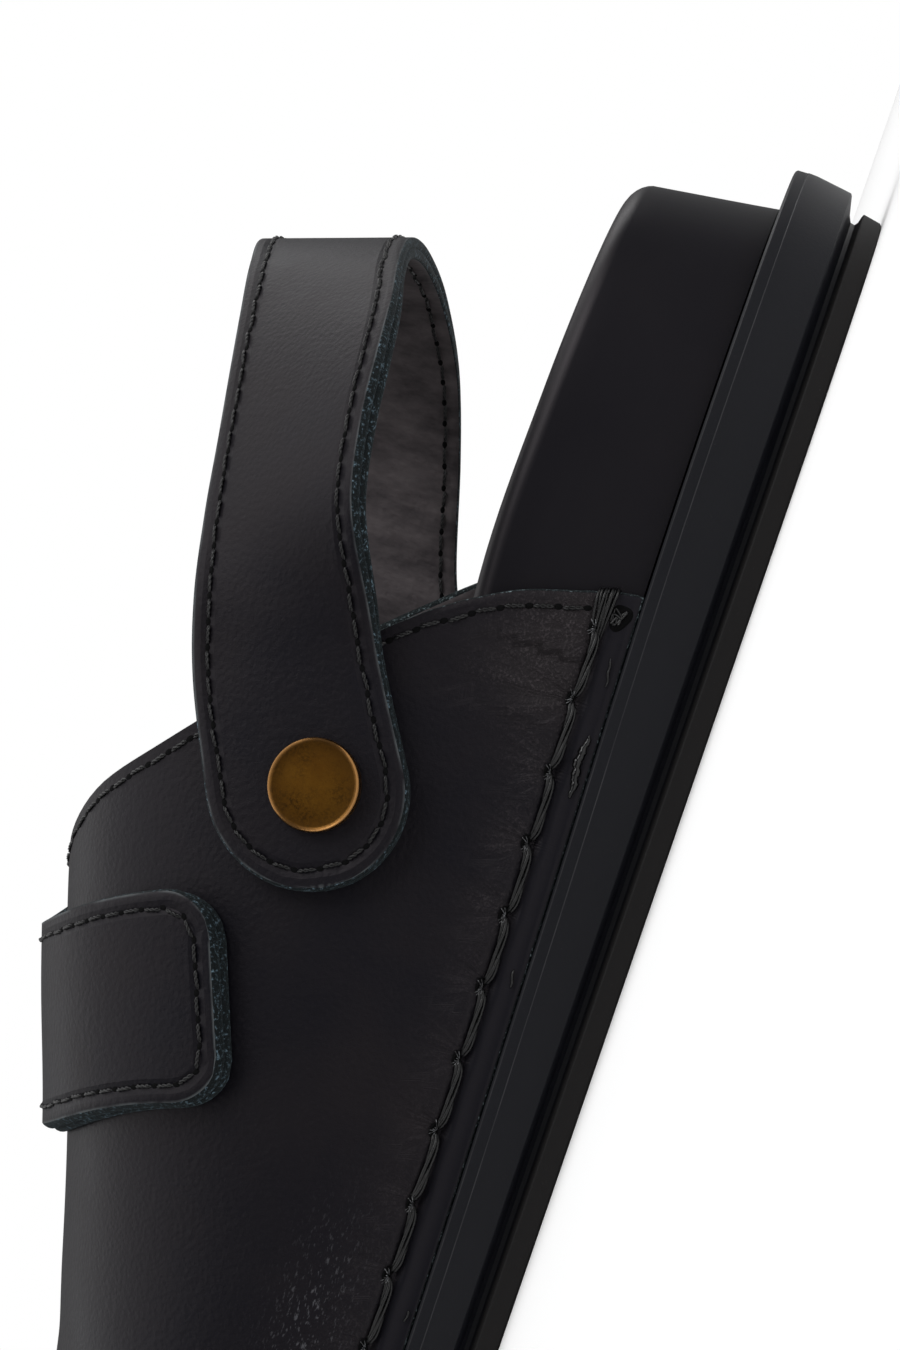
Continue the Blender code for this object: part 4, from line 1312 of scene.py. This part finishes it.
fineStitch = {
    "pitch": 3.5, "inset": 2.25, "hole": (1.45, 1.0), "wobble": 0.09, "gap": 0.1, "radius": 0.17,
    "plies": 2, "turns": 1.9, "spread": 0.15, "arch": 0.2, "dip": 0.5, "sides": 4, "segments": 9,
}
collarStitch = {
    **fineStitch, "pitch": 3.8, "inset": 2.1, "hole": (1.65, 1.15), "radius": 0.2, "spread": 0.17, "ends": 9}


def stitchRow(name, piece, spots, ups, closed, plan, seed):
    pitch = plan["pitch"]
    path = evenly(spots, pitch / 3, closed)
    path, pathUps = setDown(piece, path, nearestUps(path, spots, ups))
    sizes = {"Pitch": pitch * mm, "Seed": seed}
    thread, hole = stitchShape(pitch, plan), holeShape(*plan["hole"])
    runAlong(name, thread, fineThread, path, pathUps, closed, {**sizes, "Wobble": plan["wobble"]})
    runAlong(name + "Holes", hole, stitchHoleShade, path, pathUps, closed, {**sizes, "Wobble": 0.0})


heelPath, heelUps = insetPath(*heelBorder[:2], fineStitch["inset"])
instepPath, instepUps = insetPath(*instepBorder[:2], fineStitch["inset"])
for name, piece, path, ups, seed in (
        ("heelStitches", heelPiece, heelPath, heelUps, 3),
        ("liningStitches", heelPiece, heelPath - heelStrap["thick"] * heelUps, -heelUps, 9),
        ("instepStitches", instepPiece, instepPath, instepUps, 5)):
    stitchRow(name, piece, path, ups, True, fineStitch, seed)

collarSpan = slice(collarStitch["ends"], -collarStitch["ends"])
collarRim = upperOuter[0, collarSpan]
collarPath = collarRim + collarStitch["inset"] * unit(upperOuter[3, collarSpan] - collarRim)
collarUps = upperNormals[0, collarSpan]
stitchRow("collarStitches", upper, collarPath, collarUps, False, collarStitch, 7)


# Heavy hand-sewn seam round the sole

handSeam = {
    "radius": 0.27, "plies": 4, "turns": 0.45, "spread": 0.46, "arch": 0.55, "dip": 0.75, "sides": 7,
    "segments": 14, "gap": 0.0, "lift": 0.12, "hole": (2.2, 1.8, -0.45), "tuft": (1.6, 9, -0.5), "seed": 11,
    "pathStep": 1.6,
    "core": (150.0, 0.0, 30.0),  # inside the shoe
}


def makeHandSeam():
    path = evenly(seamLine()[1], handSeam["pathStep"], False)
    path, ups = setDown(upper, path, path - np.array(handSeam["core"]), handSeam["lift"])
    pitch = upperShell["seamPitch"]
    for name, shape, finish, wobble in (
            ("handSeam", stitchShape(pitch, handSeam), seamThread, 0.05),
            ("seamHoles", holeShape(*handSeam["hole"]), stitchHoleShade, 0.0),
            ("seamTufts", tuftShape(*handSeam["tuft"]), waxTuft, 0.4)):
        sizes = {"Pitch": pitch * mm, "Seed": handSeam["seed"], "Wobble": wobble}
        runAlong(name, shape, finish, path, ups, False, sizes)


makeHandSeam()


# Thread ends: a wrapped bundle and a knot at each rear corner, dried glue under the seam

cornerThread = {
    "strands": 11,
    "radius": 0.2,
    "spread": 1.3,
    "gather": (0.62, 5.6),  # share of the spread that is lost, over this way ahead
    "sway": (0.16, 0.14),  # along the height, out
    "route": [  # ahead of the collar, out from the last
        (2.2, -1.0), (0.6, -1.05), (-0.5, -0.4), (-0.72, 0.4), (-0.4, 1.3), (0.4, 1.72),
        (1.8, 1.7), (3.4, 1.62), (4.8, 1.3), (5.9, 0.7), (6.4, 0.2),
    ],
    "steps": 26,
    "knot": (3.0, 2.0),  # ahead, height above the lip
    "knotSize": (1.25, 1.05),
    "knotOut": (0.15, 0.2),
    "knotTurns": 11,
    "knotRadius": 0.16,
    "seed": 4,
    "hole": [(0.6, 0.03), (1.35, 0.07), (1.55, -0.1)],  # radius, out
}
driedGlue = {
    "streaks": [  # side, start and end ahead of the corner, height above the lip, bead radius
        (1, 19.0, 27.5, 1.4, 0.8), (1, 8.5, 12.5, 1.3, 0.24), (1, 50.5, 53.0, 1.2, 0.26),
        (1, 96.0, 97.6, 1.0, 0.24), (-1, 14.0, 19.0, 1.2, 0.4), (-1, 61.0, 64.0, 1.1, 0.24),
    ],
    "step": 0.22,
    "out": 0.02,
    "sunk": 0.3,  # share of the radius
}


# A spot by its way ahead of the collar, its height above the lip and how far out of the leather it is
def onUpper(side, ahead, height, out):
    t = turnAt(upperShell["corner"] + 0.4 + np.asarray(ahead, float))
    angle = angleOf(np.asarray(height, float) / crestOf(t), t)
    t = turnAt(collarX(angle) + ahead)
    return archOf(angle if side > 0 else 180 - angle, t, upperShell["outside"] + out)


def makeCornerThreads():
    route = cornerThread["route"]
    steps = np.linspace(0, len(route) - 1, cornerThread["steps"])
    ahead, out = (through(np.arange(len(route)), pick(route, k), steps) for k in (0, 1))
    out = out - upperShell["outside"]
    lanes = np.linspace(-1, 1, cornerThread["strands"])
    loss, lossReach = cornerThread["gather"]
    sway, lift = cornerThread["sway"]
    at, high = cornerThread["knot"]
    long, wide = cornerThread["knotSize"]
    knotLow, knotRise = cornerThread["knotOut"]
    count = cornerThread["knotTurns"]
    tangle = np.random.default_rng(cornerThread["seed"]).uniform(-1, 1, (2, 3, count))
    fine = np.linspace(0, count - 1, 6 * count)
    turn = np.linspace(0, 2 * math.pi, 25)[:-1]
    ragged = 1 + 0.12 * np.sin(3 * turn + 1)
    strands, holes = [], []
    for side, loops in zip((1, -1), tangle):
        for k, lane in enumerate(lanes):
            fan = cornerThread["spread"] * lane * (1 - loss * np.clip(ahead / lossReach, 0, 1))
            height = upperShell["seamHeight"] + fan + sway * np.sin(0.5 * steps + 2.3 * k)
            away = out + lift * np.sin(0.4 * steps + 1.7 * k)
            strands.append(tubeOf(onUpper(side, ahead, height, away), cornerThread["radius"], 6))
        knotX, knotZ, knotY = (through(np.arange(count), row, fine) for row in loops)
        knot = onUpper(side, at + long * knotX, high + wide * knotZ, knotLow + knotRise * knotY)
        strands.append(tubeOf(knot, cornerThread["knotRadius"], 6))
        # dark plugs of painted shade at the knot holes
        rings = [
            onUpper(side, at + 1.2 * r * ragged * np.cos(turn), high + r * ragged * np.sin(turn), z)
            for r, z in cornerThread["hole"]
        ]
        holes.append(lensOf(rings, onUpper(side, at, high, 0.02), onUpper(side, at, high, -0.6)))
    for name, parts, finish in (("cornerThreads", strands, seamThread), ("cornerHoles", holes, stitchHoleShade)):
        settle(newPiece(name, *gather(parts), [finish], sharp=80.0, merge=False))


def makeGlue():
    streaks = []
    for side, start, end, height, radius in driedGlue["streaks"]:
        ahead = np.linspace(start, end, int((end - start) / driedGlue["step"]) + 3)
        taper = np.sqrt(np.clip(1 - (2 * (ahead - start) / (end - start) - 1) ** 2, 0.04, 1))
        beads = radius * taper * (0.78 + 0.22 * np.sin(7.3 * ahead) * np.sin(3.1 * ahead + 1))
        wander = height + 0.2 * np.sin(0.9 * ahead) + 0.08 * np.sin(3.1 * ahead)
        path = onUpper(side, ahead, wander, driedGlue["out"] - driedGlue["sunk"] * radius)
        streaks.append(tubeOf(path, beads[:, None, None], 9))
    settle(newPiece("driedGlue", *gather(streaks), [glueFinish], sharp=80.0, merge=False))


makeCornerThreads()
makeGlue()


# Floor, light and camera

studio = {
    "floor": ((0.93, 0.93, 0.93, 1), (0.91, 0.91, 0.91, 1)),
    "floorSize": 1.7,
    "backdrop": 1.0,
    "surround": 0.19,
    "lights": [  # name, place, aim, size, power
        ("overhead", (0.0, 0.0, 2.4), (0.0, 0.0, 0.0), (4.6, 4.6), 78.0),
        ("keyLight", (-0.6, 0.5, 0.75), (-0.02, 0.0, 0.04), (0.6, 0.6), 3.6),
        ("rimLight", (-0.75, -0.5, 0.6), (-0.03, 0.0, 0.04), (0.6, 0.5), 2.2),
    ],
    "camera": {"place": (35.3, 406.0, 6.0), "aim": (84.0, 0.0, 38.0), "roll": 71.0, "lens": 74.7},  # mm
}


def makeStudio():
    half = studio["floorSize"] / 2
    mesh = bpy.data.meshes.new("studioFloor")
    corners = [(-half, -half, 0), (half, -half, 0), (half, half, 0), (-half, half, 0)]
    mesh.from_pydata(corners, [], [(0, 1, 2, 3)])
    f = Finish("paleFloor", {"Specular IOR Level": 0.2, "Roughness": 0.75})
    mesh.materials.append(f.wear(f.blend(f.noise(3.0), *studio["floor"])))
    floor = addObject("studioFloor", mesh)
    world = bpy.data.worlds.new("studioWorld")
    bpy.context.scene.world = world
    world.use_nodes = True
    seen = putNode(world.node_tree, "ShaderNodeLightPath")
    strength = putNode(world.node_tree, "ShaderNodeMapRange", {}, {
        "Value": seen.outputs["Is Camera Ray"], "To Min": studio["surround"], "To Max": studio["backdrop"]})
    backdrop = world.node_tree.nodes["Background"]
    backdrop.inputs["Color"].default_value = (1, 1, 1, 1)
    world.node_tree.links.new(strength.outputs[0], backdrop.inputs["Strength"])
    for name, place, aim, size, power in studio["lights"]:
        lamp = bpy.data.lights.new(name, "AREA")
        lamp.shape = "RECTANGLE"
        lamp.size, lamp.size_y = size
        lamp.energy = power
        item = addObject(name, lamp)
        item.location = place
        item.rotation_euler = (Vector(aim) - Vector(place)).to_track_quat("-Z", "Y").to_euler()
    plan = studio["camera"]
    lens = bpy.data.cameras.new("photoCamera")
    lens.lens, lens.sensor_width, lens.clip_start = plan["lens"], 36.0, 0.01
    camera = addObject("photoCamera", lens)
    place, aim = Vector(toRow(plan["place"])), Vector(toRow(plan["aim"]))
    level = (aim - place).to_track_quat("-Z", "Y").to_matrix().to_4x4()
    roll = Matrix.Rotation(math.radians(-plan["roll"]), 4, "Z")
    camera.matrix_world = Matrix.Translation(place) @ level @ roll
    bpy.context.scene.camera = camera
    bpy.context.scene.view_settings.view_transform = "Standard"


makeStudio()
print("studio ready")
